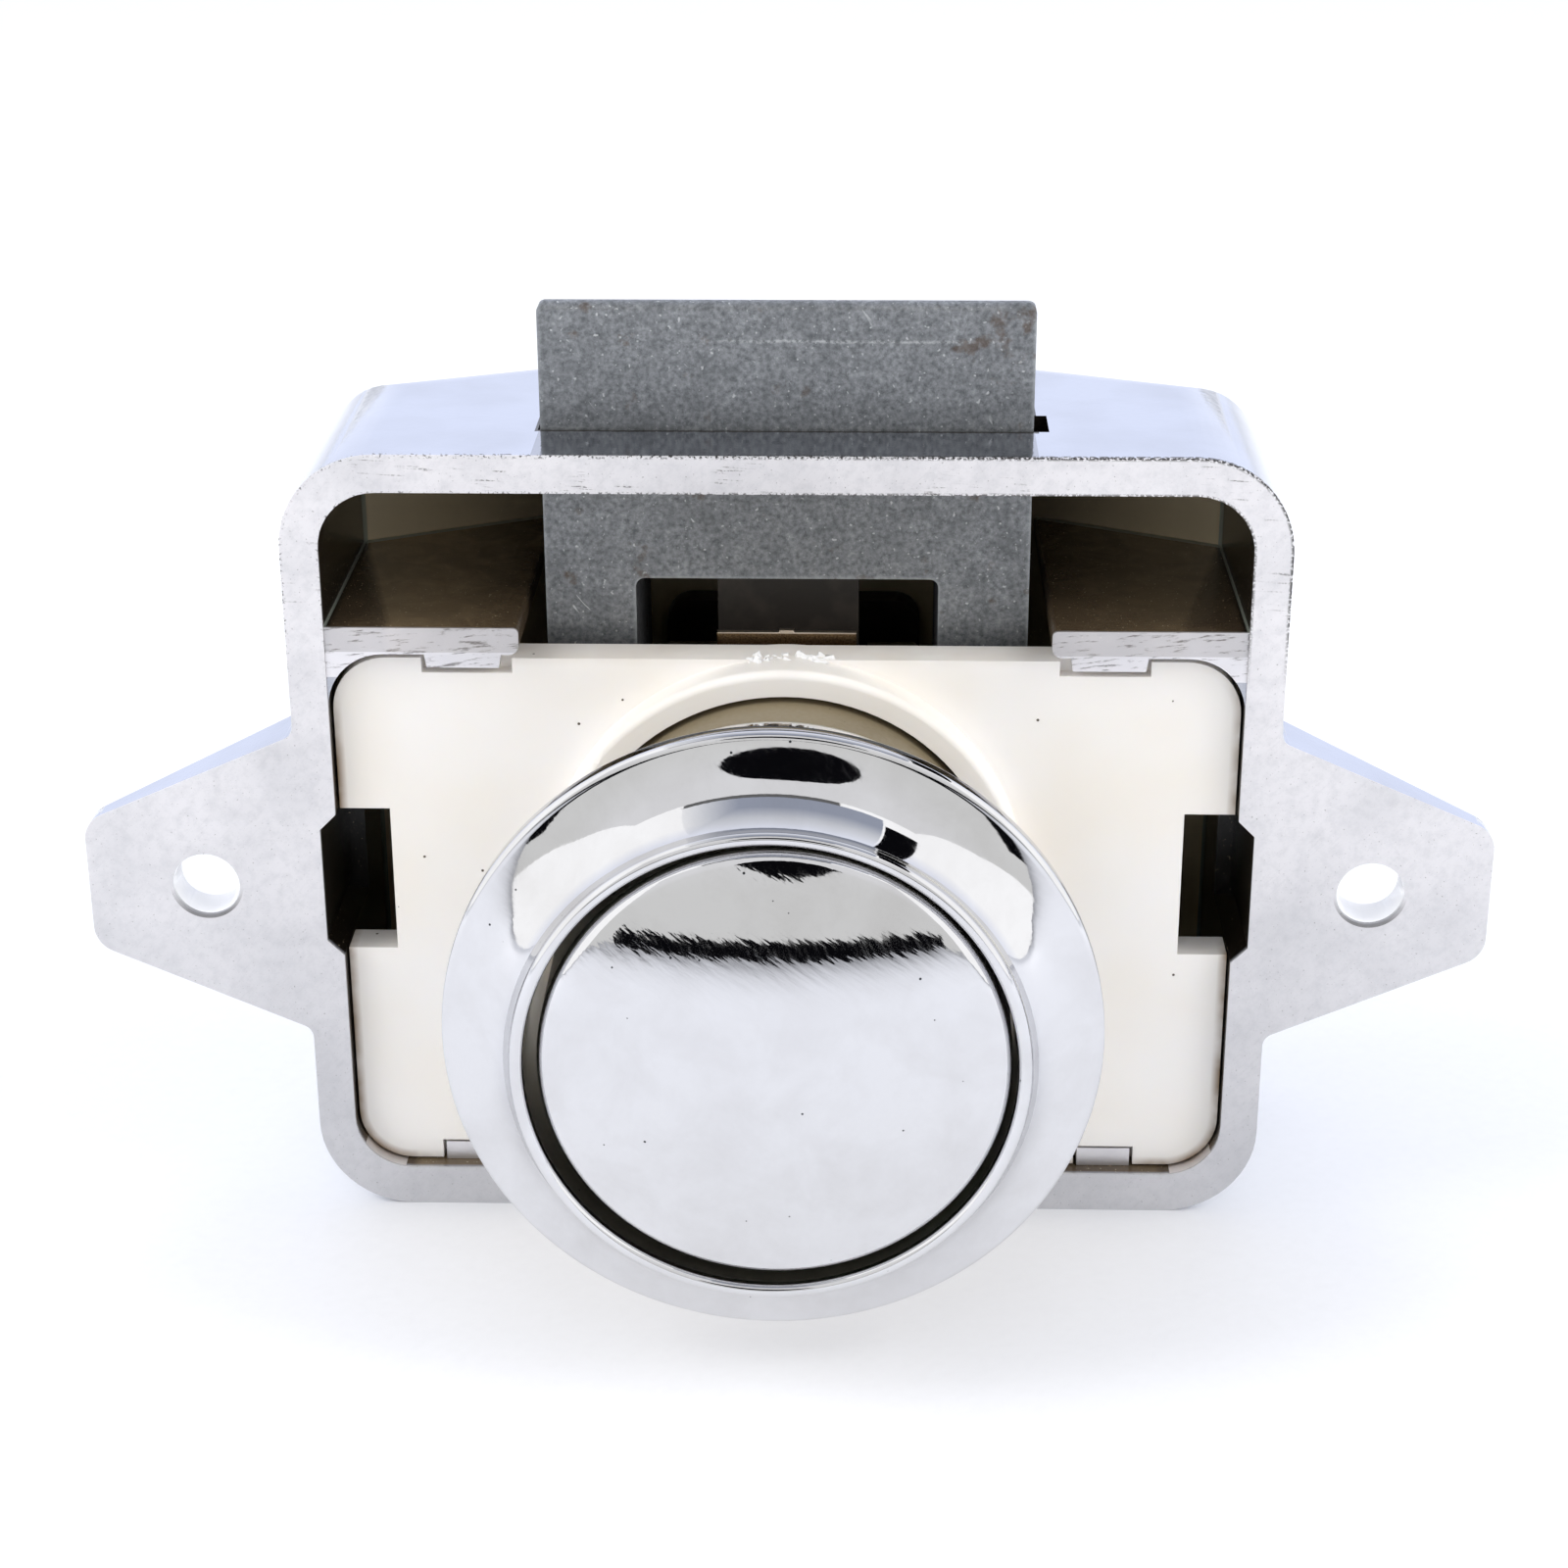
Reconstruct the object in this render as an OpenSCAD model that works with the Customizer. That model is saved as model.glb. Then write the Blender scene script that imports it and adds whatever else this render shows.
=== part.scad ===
// Push button cabinet lock for the doors of caravans, boats and furniture.
// A plated zinc housing is screwed on behind the door, with its open rim against the wood.
// A sprung bolt leaves it at the top. A round knob goes through the door inside a bright
// rosette: pushed in, it leaves the bolt out; released, it comes forward and draws the bolt in.
// Millimetres. The origin is where the knob's axis meets the mounting plane. X is to the right,
// Y goes into the cabinet and Z is up, so the knob faces -Y.

/* [Housing] */
// Width of the housing without its ears
body_w = 53.3; // [50:0.1:60]
// Height of the housing above the knob's axis
body_top = 24.7; // [23:0.1:30]
// Depth of the housing below the knob's axis
body_bottom = 20.1; // [19:0.1:26]
// Depth of the housing at its middle
body_depth = 22.5; // [21.5:0.1:27]
// Depth of the housing at its side edges
side_depth = 16.9; // [14:0.1:20]
// Width of the flat middle of the back
back_flat_w = 26.8; // [22:0.1:34]
// Wall thickness at the rim
wall = 2.05; // [1.5:0.05:3]
// Radius of the housing's four corners seen from the front
corner_r = 5.2; // [3:0.1:8]
// Radius of the top and bottom edges of the back
back_edge_r = 5.4; // [3:0.1:7]
// Radius of the side edges of the back
side_edge_r = 3.6; // [2:0.1:5]

/* [Mounting ears] */
// Distance over both ear tips
ear_span = 77; // [72:0.5:90]
// Height of an ear where it leaves the housing
ear_root_h = 17.8; // [14:0.1:22]
// Height of an ear at its tip, before its corners are rounded
ear_tip_h = 7.4; // [5:0.1:10]
// Thickness of an ear at the housing
ear_root_t = 4.0; // [3:0.1:5]
// Thickness of an ear at its tip
ear_tip_t = 1.2; // [1:0.1:2.5]
// Radius of the ear's two tip corners
ear_corner_r = 1.6; // [0.8:0.1:2.4]
// Radius in the corner between ear and housing
ear_fillet_r = 0.8; // [0.3:0.1:1.5]
// Distance between the two screw holes
screw_spacing = 64; // [60:0.5:70]
// Diameter of the screw holes
screw_hole_d = 3.7; // [3:0.1:4.5]

/* [Cross walls and tabs] */
// Height of the cross walls' underside above the knob's axis
cross_wall_z = 13.6; // [13.4:0.05:16]
// Thickness of the two cross walls
cross_wall_t = 1.5; // [1:0.05:2]
// Side gap between the bolt and a cross wall
cross_wall_gap = 1.05; // [0.5:0.05:2]
// How far the cross walls stand back from the rim
cross_wall_setback = 0.15; // [0.1:0.05:0.6]
// Middle of an upper tab, from the housing's centre
upper_tab_x = 17.35; // [16:0.05:19]
// Width of an upper tab at its root
upper_tab_w = 4.3; // [3:0.1:6]
// Middle of a lower tab, from the housing's centre
lower_tab_x = 18.1; // [16:0.05:20]
// Width of a lower tab
lower_tab_w = 3.0; // [2:0.1:5]
// How far an upper tab reaches over the plate
upper_tab_grip = 0.55; // [0.4:0.05:1.2]
// How far a lower tab reaches over the plate
lower_tab_grip = 1.05; // [0.4:0.05:1.3]
// Thickness of the tabs
tab_t = 0.8; // [0.5:0.05:1.2]
// Height of the side pockets in the housing walls
pocket_h = 8.5; // [6:0.1:12]
// Depth of the side pockets
pocket_d = 0.9; // [0.4:0.05:1.3]
// How far the side pockets run back from the rim
pocket_len = 9; // [4:0.5:12]
// Width of the four ribs that carry the plate
rib_w = 1.5; // [1:0.1:2.5]

/* [Cover plate] */
// Setback of the plate's face behind the rim
plate_setback = 1.0; // [0.5:0.05:2]
// Thickness of the plate
plate_t = 2.3; // [1.6:0.1:3]
// Gap between the plate and the housing wall
plate_gap = 0.1; // [0.05:0.05:0.4]
// Gap between the plate's top edge and the cross walls
plate_top_gap = 0.5; // [0.3:0.05:1.2]
// Radius of the plate's corners
plate_corner_r = 3.0; // [1.5:0.1:5]
// Depth of the notches in the plate's sides
notch_d = 2.75; // [1.5:0.05:4]
// Outer diameter of the collar round the knob
collar_d = 26.3; // [25.5:0.1:29]
// How far the collar stands out of the mounting plane
collar_out = 1.0; // [0.5:0.1:2]
// Width of the widened mouth of the collar, beyond the barrel
mouth_gap = 0.3; // [0.15:0.05:0.6]

/* [Latch bolt] */
// Width of the bolt
bolt_w = 26.3; // [22:0.1:28]
// Thickness of the bolt
bolt_t = 11.0; // [10:0.1:12]
// Setback of the bolt's face behind the rim
bolt_setback = 4.86; // [4.4:0.02:6]
// How far the bolt stands out above the housing
bolt_out = 6.9; // [4:0.1:8]
// Width of the bolt's top before its bevel starts
bolt_land = 0.75; // [0.7:0.05:3]
// Where the bevel ends at the back, above the housing's top
bevel_end = 0.3; // [0:0.1:2]
// Distance that the bolt is drawn in
bolt_travel = 7.0; // [5:0.1:7.2]
// Width of the window in the bolt
window_w = 16.46; // [15:0.02:17.5]
// Height of the window's top above the knob's axis
window_top = 16.35; // [15.8:0.05:18]
// Length of the legs below the knob's axis
leg_len = 10.0; // [8:0.1:10.6]
// Radius of the window's top corners
window_r = 0.5; // [0.3:0.1:1.5]
// Gap round the bolt in its slot
slot_gap = 0.12; // [0.08:0.01:0.3]
// Diameter of the cam pins
cam_pin_d = 2.0; // [1.6:0.1:2.2]
// Play of a cam pin in its slanting groove, all round
cam_play = 0.1; // [0.05:0.01:0.2]
// How far the cam pins reach into the legs
cam_reach = 2.1; // [1.5:0.1:2.8]

/* [Knob and plunger] */
// Distance that the knob comes out
knob_travel = 7.5; // [5:0.1:7.5]
// Diameter of the bright knob
knob_d = 23.2; // [21:0.1:23.6]
// Distance of the rim of the knob's face from the mounting plane
knob_face = 21.0; // [19:0.1:24]
// Length of the knob's cup
knob_len = 8.6; // [7:0.1:10]
// Wall of the knob's cup
knob_wall = 0.7; // [0.5:0.05:1]
// Thickness of the knob's face
knob_face_t = 1.4; // [1:0.1:2]
// Radius round the knob's face
knob_edge_r = 0.85; // [0.4:0.05:1.3]
// Height of the dome of the knob's face above its rounded edge
knob_dome = 1.9; // [0.8:0.1:2.4]
// Diameter of the plunger's barrel
barrel_d = 22.8; // [20:0.1:23]
// Running clearance of the barrel in the collar, on the radius
barrel_play = 0.05; // [0.02:0.01:0.1]
// Width of the plunger's shank between the bolt's legs
shank_w = 16.0; // [14:0.1:16.2]
// Height of the shank's two cheeks above the axis
cheek_z = 8.9; // [8.2:0.1:9.1]
// Height of the floor between the cheeks
shank_flat = 6.0; // [5.5:0.1:6.4]
// Width of the floor between the cheeks
floor_w = 8.8; // [8.5:0.1:10]
// Distance of the shank's end behind the mounting plane
shank_end = 15.2; // [14.8:0.1:16]

/* [Rosette] */
// Diameter of the rosette
rosette_d = 33.0; // [31:0.1:38]
// Thickness of the door between rosette and housing
door_t = 16.3; // [13:0.1:19]
// Diameter of the rosette's sleeve
sleeve_d = 25.6; // [25.4:0.1:28]
// Gap between sleeve and collar when the rosette is slid right in
sleeve_clear = 0.4; // [0.2:0.1:1]
// Gap between the knob and the sleeve, on the radius
sleeve_gap = 0.5; // [0.3:0.05:0.6]
// Thickness of the flange at its edge
flange_t = 1.2; // [0.8:0.1:2]
// How far the rosette hangs to the left while no door holds it
rosette_sag = 0.2; // [0:0.05:0.3]
// Radius of the rounded lip round the knob
bead_r = 0.45; // [0.3:0.05:0.7]
// Slope where the rosette's shallow sweep turns into its throat
knee = 29; // [22:1:40]
// Share of the sweep's width that lies outside the knee
sweep_share = 0.58; // [0.45:0.01:0.7]
// Straight wall between the throat and the lip's bead
lip_land = 0.43; // [0.2:0.01:0.8]
// Distance that the rosette can slide in for a thinner door
rosette_travel = 4.6; // [2:0.1:4.7]

/* [Push and push track] */
// Diameter of the follower wire
wire_d = 1.0; // [0.8:0.05:1.2]
// Sideways distance of each lane from the middle
lane_x = 1.9; // [1.7:0.05:2.2]
// Place of the follower's tip behind the mounting plane
tip_y = 6.1; // [5.8:0.05:6.6]
// Distance of the follower's pivot in front of the cradle's back plate
pivot_setback = 1.75; // [1.2:0.05:3]
// Depth of the track in the shank
track_d = 1.5; // [1:0.1:2]

/* [Cradle and leaf spring] */
// Width of the post in the bolt's window
post_w = 7.8; // [6:0.1:9]
// Place of the post's face behind the mounting plane
post_y = 7.5; // [7.3:0.1:9]
// Height of the post's underside above the axis
post_z = 8.4; // [8.2:0.1:9]
// Gap between the post's top and the window's top
post_gap = 0.35; // [0.2:0.05:0.8]
// Thickness of the cradle's back plate
cradle_t = 1.8; // [1.2:0.1:2.4]
// Width of the cradle's back plate
cradle_w = 15.0; // [12:0.5:18]
// Height of the cradle's back plate above the axis, beside the post
cradle_top = 10.2; // [9:0.1:12]
// Width of the leaf spring
leaf_w = 7.6; // [5:0.1:8]
// Thickness of the leaf spring
leaf_t = 0.4; // [0.3:0.05:0.6]
// Height of the leaf spring's front flange above the axis
leaf_top = 13.55; // [11:0.05:14]
// Gap between the plate's back and the leaf's flange
leaf_gap = 0.7; // [0.4:0.05:1]

/* [Springs and fasteners] */
// Wire of the two bolt springs
bolt_spring_wire = 0.45; // [0.3:0.05:0.6]
// Mean diameter of the bolt springs
bolt_spring_d = 2.9; // [2.6:0.05:3.1]
// Curls of a bolt spring
bolt_spring_turns = 9; // [6:1:11]
// Depth of the spring pockets in the legs
spring_pocket = 7.4; // [5:0.1:7.8]
// Diameter of the bolt springs' guide pins
guide_pin_d = 1.6; // [1.2:0.1:1.8]
// How deep the guide pins sit in the housing's floor
guide_pin_seat = 1.3; // [0.8:0.1:1.6]
// Wire of the return spring
return_wire = 0.5; // [0.4:0.05:0.7]
// Mean diameter of the return spring
return_d = 4.5; // [4.2:0.05:4.8]
// Curls of the return spring
return_turns = 14; // [8:1:18]
// Thread diameter of the knob's screw
knob_screw_d = 3.0; // [2.5:0.5:3.5]
// Thread diameter of the cradle's screws
cradle_screw_d = 2.2; // [1.6:0.1:2.6]

/* [Hidden] */
$fn = 64;
e = 0.01;

half_w = body_w / 2;
in_x = half_w - wall;
in_top = body_top - wall;
in_bottom = body_bottom - wall - 0.3;
back_in = body_depth - wall;

// The plate's edges follow the housing's inner walls
plate_y0 = plate_setback;
plate_y1 = plate_setback + plate_t;
plate_x = in_x - plate_gap;
plate_top = cross_wall_z - plate_top_gap;
plate_bottom = in_bottom - plate_gap;
tab_y0 = plate_y0 - 0.05;
tab_y1 = tab_y0 + tab_t;
tab_step = tab_t + 0.1;

bolt_x = bolt_w / 2;
bolt_y0 = bolt_setback;
bolt_y1 = bolt_setback + bolt_t;
bolt_top = body_top + bolt_out;
window_x = window_w / 2;
leg_mid = (bolt_x + window_x) / 2;
bolt_mid_y = (bolt_y0 + bolt_y1) / 2;
cross_x = bolt_x + cross_wall_gap;

// The cam pins sit near the shank's end, and their grooves rise towards the front
cam_y = shank_end - cam_pin_d / 2;
groove_r = cam_pin_d / 2 + cam_play;
cam_in = shank_w / 2 - 4.3;
cam_out = window_x + cam_reach;

barrel_r = barrel_d / 2;
collar_bore_r = barrel_r + barrel_play;
barrel_end = bolt_y0 - 0.96;
cup_in_r = knob_d / 2 - knob_wall;
cup_y0 = -knob_face;
cup_y1 = cup_y0 + knob_len;
// The knob's face is a spherical cap that runs tangent into the rounded edge
edge_x = knob_d / 2 - knob_edge_r;
dome_k = knob_dome + knob_edge_r;
dome_r = (pow(dome_k, 2) + pow(edge_x, 2) - pow(knob_edge_r, 2)) / (2 * knob_dome);
dome_y = cup_y0 - knob_dome + dome_r;
dome_end = asin(edge_x / (dome_r - knob_edge_r));
inner_dome_r = dome_r - knob_face_t;
inner_dome_end = asin(cup_in_r / inner_dome_r);
hub_y = dome_y - inner_dome_r * cos(inner_dome_end);
head_y = -6;
washer_t = 0.6;
head_t = 1.9;
spring_bore_r = return_d / 2 + return_wire / 2 + 0.15;

sleeve_in_r = knob_d / 2 + sleeve_gap;
flange_y = -door_t;
sleeve_y = -collar_out - sleeve_clear - rosette_travel;
sleeve_len = sleeve_y - flange_y;

cradle_y0 = back_in - cradle_t;
post_top = window_top - post_gap;
leaf_y0 = plate_y1 + leaf_gap;
arm_z = shank_flat + 0.45 + wire_d / 2;
leaf_low = arm_z + wire_d / 2 + 0.05;
pivot_y = cradle_y0 - pivot_setback;
rivet_y = pivot_y - 3.7;
rivet_x = 2.6;
cradle_screw_z = [-8.2, 6.2];

guide_pin_z0 = -in_bottom - guide_pin_seat;
pocket_z = -leg_len + spring_pocket;
guide_pin_z1 = pocket_z - bolt_travel - 0.7;

// Drawing helpers

function unit(v) = v / norm(v);

// For a corner at q between p and s: its two tangent points and the centre of its rounding
function corner(p, q, s, r) =
    let (a = unit(p - q), b = unit(s - q), half = acos(a * b) / 2)
    [q + a * r / tan(half), q + b * r / tan(half), q + unit(a + b) * r / sin(half)];

// Convex outline whose corners have the given radii
module round_poly(pts, radii) {
    n = len(pts);
    cs = [for (i = [0:n - 1]) corner(pts[(i + n - 1) % n], pts[i], pts[(i + 1) % n], radii[i])];
    union() {
        polygon([for (i = [0:n - 1]) each (radii[i] > 0 ? [cs[i][0], cs[i][1]] : [pts[i]])]);
        for (i = [0:n - 1])
            if (radii[i] > 0) translate(cs[i][2]) circle(r = radii[i]);
    }
}

// Filling of an inside corner
module fillet(p, q, s, r) {
    c = corner(p, q, s, r);
    difference() {
        polygon([q + (q - c[2]) * 0.4, c[0], c[1]]);
        translate(c[2]) circle(r = r);
    }
}

module round_box(x0, x1, z0, z1, r) {
    round_poly([[x0, z0], [x1, z0], [x1, z1], [x0, z1]], [r, r, r, r]);
}

// An outline drawn as X, Z and pushed along Y
module along_y(y0, y1) {
    translate([0, y1, 0]) rotate([90, 0, 0]) linear_extrude(height = y1 - y0) children();
}

// An outline drawn as Y, Z and pushed along X
module along_x(x0, x1) {
    translate([x0, 0, 0]) rotate([90, 0, 90]) linear_extrude(height = x1 - x0) children();
}

// An outline drawn as X, Y and pushed along Z
module along_z(z0, z1) {
    translate([0, 0, z0]) linear_extrude(height = z1 - z0) children();
}

// A profile drawn as radius, Y and turned round the knob's axis
module turned() {
    rotate([-90, 0, 0]) rotate_extrude($fn = 96) children();
}

module rod_y(r, y0, y1) {
    translate([0, y0, 0]) rotate([-90, 0, 0]) cylinder(r = r, h = y1 - y0);
}

module rod_x(r, x0, x1) {
    translate([x0, 0, 0]) rotate([0, 90, 0]) cylinder(r = r, h = x1 - x0);
}

module both_sides() {
    children();
    mirror([1, 0, 0]) children();
}

// A coil spring: one helical tube from z = 0 to z = h, six sides, eight rings a curl
function coil_path(r, turns, h, wire) =
    [for (i = [0:8 * turns])
        [r * cos(45 * i), r * sin(45 * i), wire / 2 + (h - wire) * i / (8 * turns)]];

function coil_rings(path, wire) =
    [for (i = [0:len(path) - 1])
        let (p = path[i], out = unit([p[0], p[1], 0]))
        let (t = unit(path[min(i + 1, len(path) - 1)] - path[max(i - 1, 0)]))
        let (up = cross(t, out))
        for (k = [0:5]) p + (out * cos(60 * k) + up * sin(60 * k)) * wire / 2];

function coil_gap(path, wire) =
    min([for (i = [0:len(path) - 1]) for (j = [i + 6:len(path) - 1]) norm(path[i] - path[j])]) - wire;

module coil(r, turns, h, wire) {
    path = coil_path(r, turns, h, wire);
    n = len(path);
    echo(str("least gap between curls: ", coil_gap(path, wire)));
    sides = [for (i = [0:n - 2]) for (k = [0:5])
        let (a = 6 * i + k, b = 6 * i + (k + 1) % 6)
        each [[a, b, b + 6], [a, b + 6, a + 6]]];
    ends = [for (k = [1:4]) each [[0, k + 1, k], [6 * n - 6, 6 * n - 6 + k, 6 * n - 5 + k]]];
    polyhedron(points = coil_rings(path, wire), faces = concat(sides, ends));
}

// Housing

module front_outline(x, top, bottom, r) {
    round_box(-x, x, -bottom, top, r);
}

// The back is deepest at its middle and falls away to both sides
module back_outline(x, deep, shallow, flat, r) {
    round_poly(
        [[-x, 0], [x, 0], [x, shallow], [flat / 2, deep], [-flat / 2, deep], [-x, shallow]],
        [0, 0, r, 4 * r, 4 * r, r]
    );
}

// Rounds the top and bottom edges of a back face that stands at the given depth
module back_rounding(depth) {
    along_x(-2 * half_w, 2 * half_w) round_poly(
        [
            [-2 * half_w, -body_bottom], [depth, -body_bottom],
            [depth, body_top], [-2 * half_w, body_top]
        ],
        [0, back_edge_r, back_edge_r, 0]
    );
}

module sloping_side_rounding() {
    fall = atan2(body_depth - side_depth, half_w - back_flat_w / 2);
    translate([back_flat_w / 2, body_depth, 0]) rotate([0, 0, -fall]) back_rounding(0);
}

// The rounding follows the middle of the back and its two sloping sides
module block() {
    intersection() {
        along_y(0, body_depth + 1) front_outline(half_w, body_top, body_bottom, corner_r);
        along_z(-body_bottom - 1, body_top + 1)
            back_outline(half_w, body_depth, side_depth, back_flat_w, side_edge_r);
        back_rounding(body_depth);
        sloping_side_rounding();
        mirror([1, 0, 0]) sloping_side_rounding();
    }
}

module cavity() {
    r = corner_r - wall;
    intersection() {
        along_y(-1, back_in) front_outline(in_x, in_top, in_bottom, r);
        along_z(-body_bottom, body_top) union() {
            back_outline(in_x, back_in, side_depth - wall, back_flat_w, 0.6);
            translate([-in_x, -1]) square([2 * in_x, 1.5]);
        }
        along_x(-half_w, half_w) round_poly(
            [[-1, -in_bottom], [back_in, -in_bottom], [back_in, in_top], [-1, in_top]],
            [0, 0.8, 0.8, 0]
        );
    }
}

module ear_outline() {
    slope = (ear_root_h - ear_tip_h) / 2 / (ear_span / 2 - half_w);
    x0 = half_w - wall / 2;
    root = ear_root_h / 2;
    tip = ear_tip_h / 2;
    inner = root + slope * wall / 2;
    union() {
        round_poly(
            [[x0, -inner], [ear_span / 2, -tip], [ear_span / 2, tip], [x0, inner]],
            [0, ear_corner_r, ear_corner_r, 0]
        );
        for (s = [1, -1]) fillet(
            [half_w, s * (root + 4)], [half_w, s * root], [ear_span / 2, s * tip], ear_fillet_r
        );
    }
}

// The ear is thick at the housing and thin at its tip
module ear() {
    difference() {
        intersection() {
            along_y(0, ear_root_t + 1) ear_outline();
            along_z(-ear_root_h, ear_root_h) polygon([
                [half_w - wall / 2, 0], [ear_span / 2 + 1, 0],
                [ear_span / 2 + 1, ear_tip_t - (ear_root_t - ear_tip_t) / (ear_span / 2 - half_w)],
                [half_w, ear_root_t], [half_w - wall / 2, ear_root_t]
            ]);
        }
        translate([screw_spacing / 2, 0, 0]) rod_y(screw_hole_d / 2, -1, ear_root_t + 1);
    }
}

// Two thin walls close off the chambers beside the bolt and carry the upper tabs
module cross_wall() {
    r = plate_corner_r + plate_gap;
    along_y(cross_wall_setback, body_depth) union() {
        round_poly(
            [
                [cross_x, cross_wall_z], [half_w - 0.5, cross_wall_z],
                [half_w - 0.5, cross_wall_z + cross_wall_t], [cross_x, cross_wall_z + cross_wall_t]
            ],
            [0.55, 0, 0, 0.3]
        );
        // Rounded corner that follows the corner of the plate
        difference() {
            translate([in_x - r, cross_wall_z - r]) square([r + 0.5, r + 0.5]);
            translate([in_x - r, cross_wall_z - r]) circle(r = r);
        }
    }
}

module upper_tab() {
    w = upper_tab_w / 2;
    low = plate_top - upper_tab_grip;
    along_y(tab_y0, tab_y1) polygon([
        [upper_tab_x - w + 0.2, low], [upper_tab_x + w - 0.2, low],
        [upper_tab_x + w, cross_wall_z + 0.2], [upper_tab_x - w, cross_wall_z + 0.2]
    ]);
}

module lower_tab() {
    along_y(tab_y0, tab_y1) translate([lower_tab_x - lower_tab_w / 2, -in_bottom - 0.3])
        square([lower_tab_w, plate_gap + lower_tab_grip + 0.3]);
}

module side_pocket() {
    h = pocket_h / 2;
    along_y(-1, pocket_len) polygon([
        [in_x - 0.5, -h - 0.5], [in_x + pocket_d, -h + pocket_d],
        [in_x + pocket_d, h - pocket_d], [in_x - 0.5, h + 0.5]
    ]);
}

// Ribs behind the plate's corners, for it to lie on
module plate_ribs() {
    along_y(plate_y1, body_depth) union() {
        translate([upper_tab_x - rib_w / 2, plate_top - 2.6])
            square([rib_w, cross_wall_z - plate_top + 2.7]);
        translate([lower_tab_x - rib_w / 2, -in_bottom - 0.2]) square([rib_w, 3.2]);
    }
}

module bolt_slot() {
    x = bolt_x + slot_gap;
    y0 = bolt_y0 - slot_gap;
    along_z(in_top - 3, body_top + 1) union() {
        translate([-x, y0]) square([2 * x, bolt_t + 2 * slot_gap]);
        translate([0, y0]) square([x + 0.7, 3.1]);
    }
}

module housing() {
    color("Silver") difference() {
        union() {
            difference() {
                block();
                cavity();
            }
            intersection() {
                block();
                both_sides() {
                    cross_wall();
                    plate_ribs();
                }
            }
            both_sides() {
                ear();
                upper_tab();
                lower_tab();
            }
        }
        both_sides() {
            side_pocket();
            translate([leg_mid, bolt_mid_y, guide_pin_z0]) cylinder(r = guide_pin_d / 2, h = 4);
        }
        bolt_slot();
        for (z = cradle_screw_z)
            translate([0, 0, z]) rod_y(cradle_screw_d / 2 - 0.15, back_in - 1, body_depth - 0.5);
    }
}

// Cover plate with the collar that guides the knob's barrel

module plate_outline() {
    difference() {
        round_box(-plate_x, plate_x, -plate_bottom, plate_top, plate_corner_r);
        both_sides() translate([plate_x - notch_d, -pocket_h / 2]) square([notch_d + 1, pocket_h]);
    }
}

module cover_plate() {
    color("Ivory") difference() {
        union() {
            along_y(plate_y0, plate_y1) plate_outline();
            turned() round_poly(
                [
                    [collar_bore_r, plate_y1], [collar_bore_r, -collar_out],
                    [collar_d / 2, -collar_out], [collar_d / 2, plate_y1]
                ],
                [0, 0, 0.45, 0]
            );
        }
        rod_y(collar_bore_r, -collar_out - 1, plate_y1 + 1);
        turned() polygon([
            [collar_bore_r - 1, -collar_out - 1], [collar_bore_r + mouth_gap, -collar_out - 1],
            [collar_bore_r + mouth_gap, -collar_out + 0.8], [collar_bore_r, -collar_out + 1.4],
            [collar_bore_r - 1, -collar_out + 1.4]
        ]);
        both_sides() along_y(plate_y0 - 1, plate_y0 + tab_step) union() {
            translate([upper_tab_x - upper_tab_w / 2 - 0.5, plate_top - upper_tab_grip - 0.3])
                square([upper_tab_w + 0.6, 4]);
            translate([lower_tab_x - lower_tab_w / 2 - 0.2, -plate_bottom - 3])
                square([lower_tab_w + 0.4, 3 + lower_tab_grip + 0.1]);
        }
    }
}

// Latch bolt: a block with a bevelled back, whose two legs straddle the plunger

module bolt_body() {
    intersection() {
        along_x(-bolt_x - 1, bolt_x + 1) round_poly(
            [
                [bolt_y0, -leg_len], [bolt_y1, -leg_len], [bolt_y1, body_top + bevel_end],
                [bolt_y0 + bolt_land, bolt_top], [bolt_y0, bolt_top]
            ],
            [0.4, 0.4, 1.2, 0.25, 0.45]
        );
        along_y(bolt_y0 - 1, bolt_y1 + 1) round_poly(
            [[-bolt_x, -leg_len], [bolt_x, -leg_len], [bolt_x, bolt_top], [-bolt_x, bolt_top]],
            [0.4, 0.4, 0.55, 0.55]
        );
    }
}

// Slanting groove in a leg: as the pin comes forward, the bolt has to go down
module cam_groove() {
    reach = window_x + cam_reach + 0.15;
    run = [-knob_travel, bolt_travel];
    length = norm(run);
    for (t = [0, 1])
        translate([0, cam_y + t * run[0], t * run[1]]) rod_x(groove_r, window_x - 1, reach);
    translate([0, cam_y, 0]) rotate([atan2(run[1], run[0]), 0, 0])
        translate([window_x - 1, 0, -groove_r]) cube([reach - window_x + 1, length, 2 * groove_r]);
}

module latch_bolt() {
    color("SlateGray") difference() {
        bolt_body();
        along_y(bolt_y0 - 1, bolt_y1 + 1) round_poly(
            [
                [-window_x, -leg_len - 1], [window_x, -leg_len - 1],
                [window_x, window_top], [-window_x, window_top]
            ],
            [0, 0, window_r, window_r]
        );
        along_y(post_y - 0.2, bolt_y1 + 1)
            translate([-post_w / 2 - 0.25, window_top - 1])
                square([post_w + 0.5, 1 + bolt_travel]);
        both_sides() {
            cam_groove();
            translate([leg_mid, bolt_mid_y, -leg_len - 1])
                cylinder(r = bolt_spring_d / 2 + bolt_spring_wire / 2 + 0.2, h = spring_pocket + 1);
            along_y(bolt_mid_y - 0.6, bolt_y1 + 1)
                round_box(post_w / 2 + 2.2, bolt_x - 1.8, window_top + 1.4, body_top - 1.9, 0.8);
        }
        translate([0, cam_y, 0]) rod_x(groove_r, -bolt_x - 1, -window_x);
    }
}

// Plunger: a barrel that runs in the collar, and a shank that carries the cam pins and the track

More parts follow.
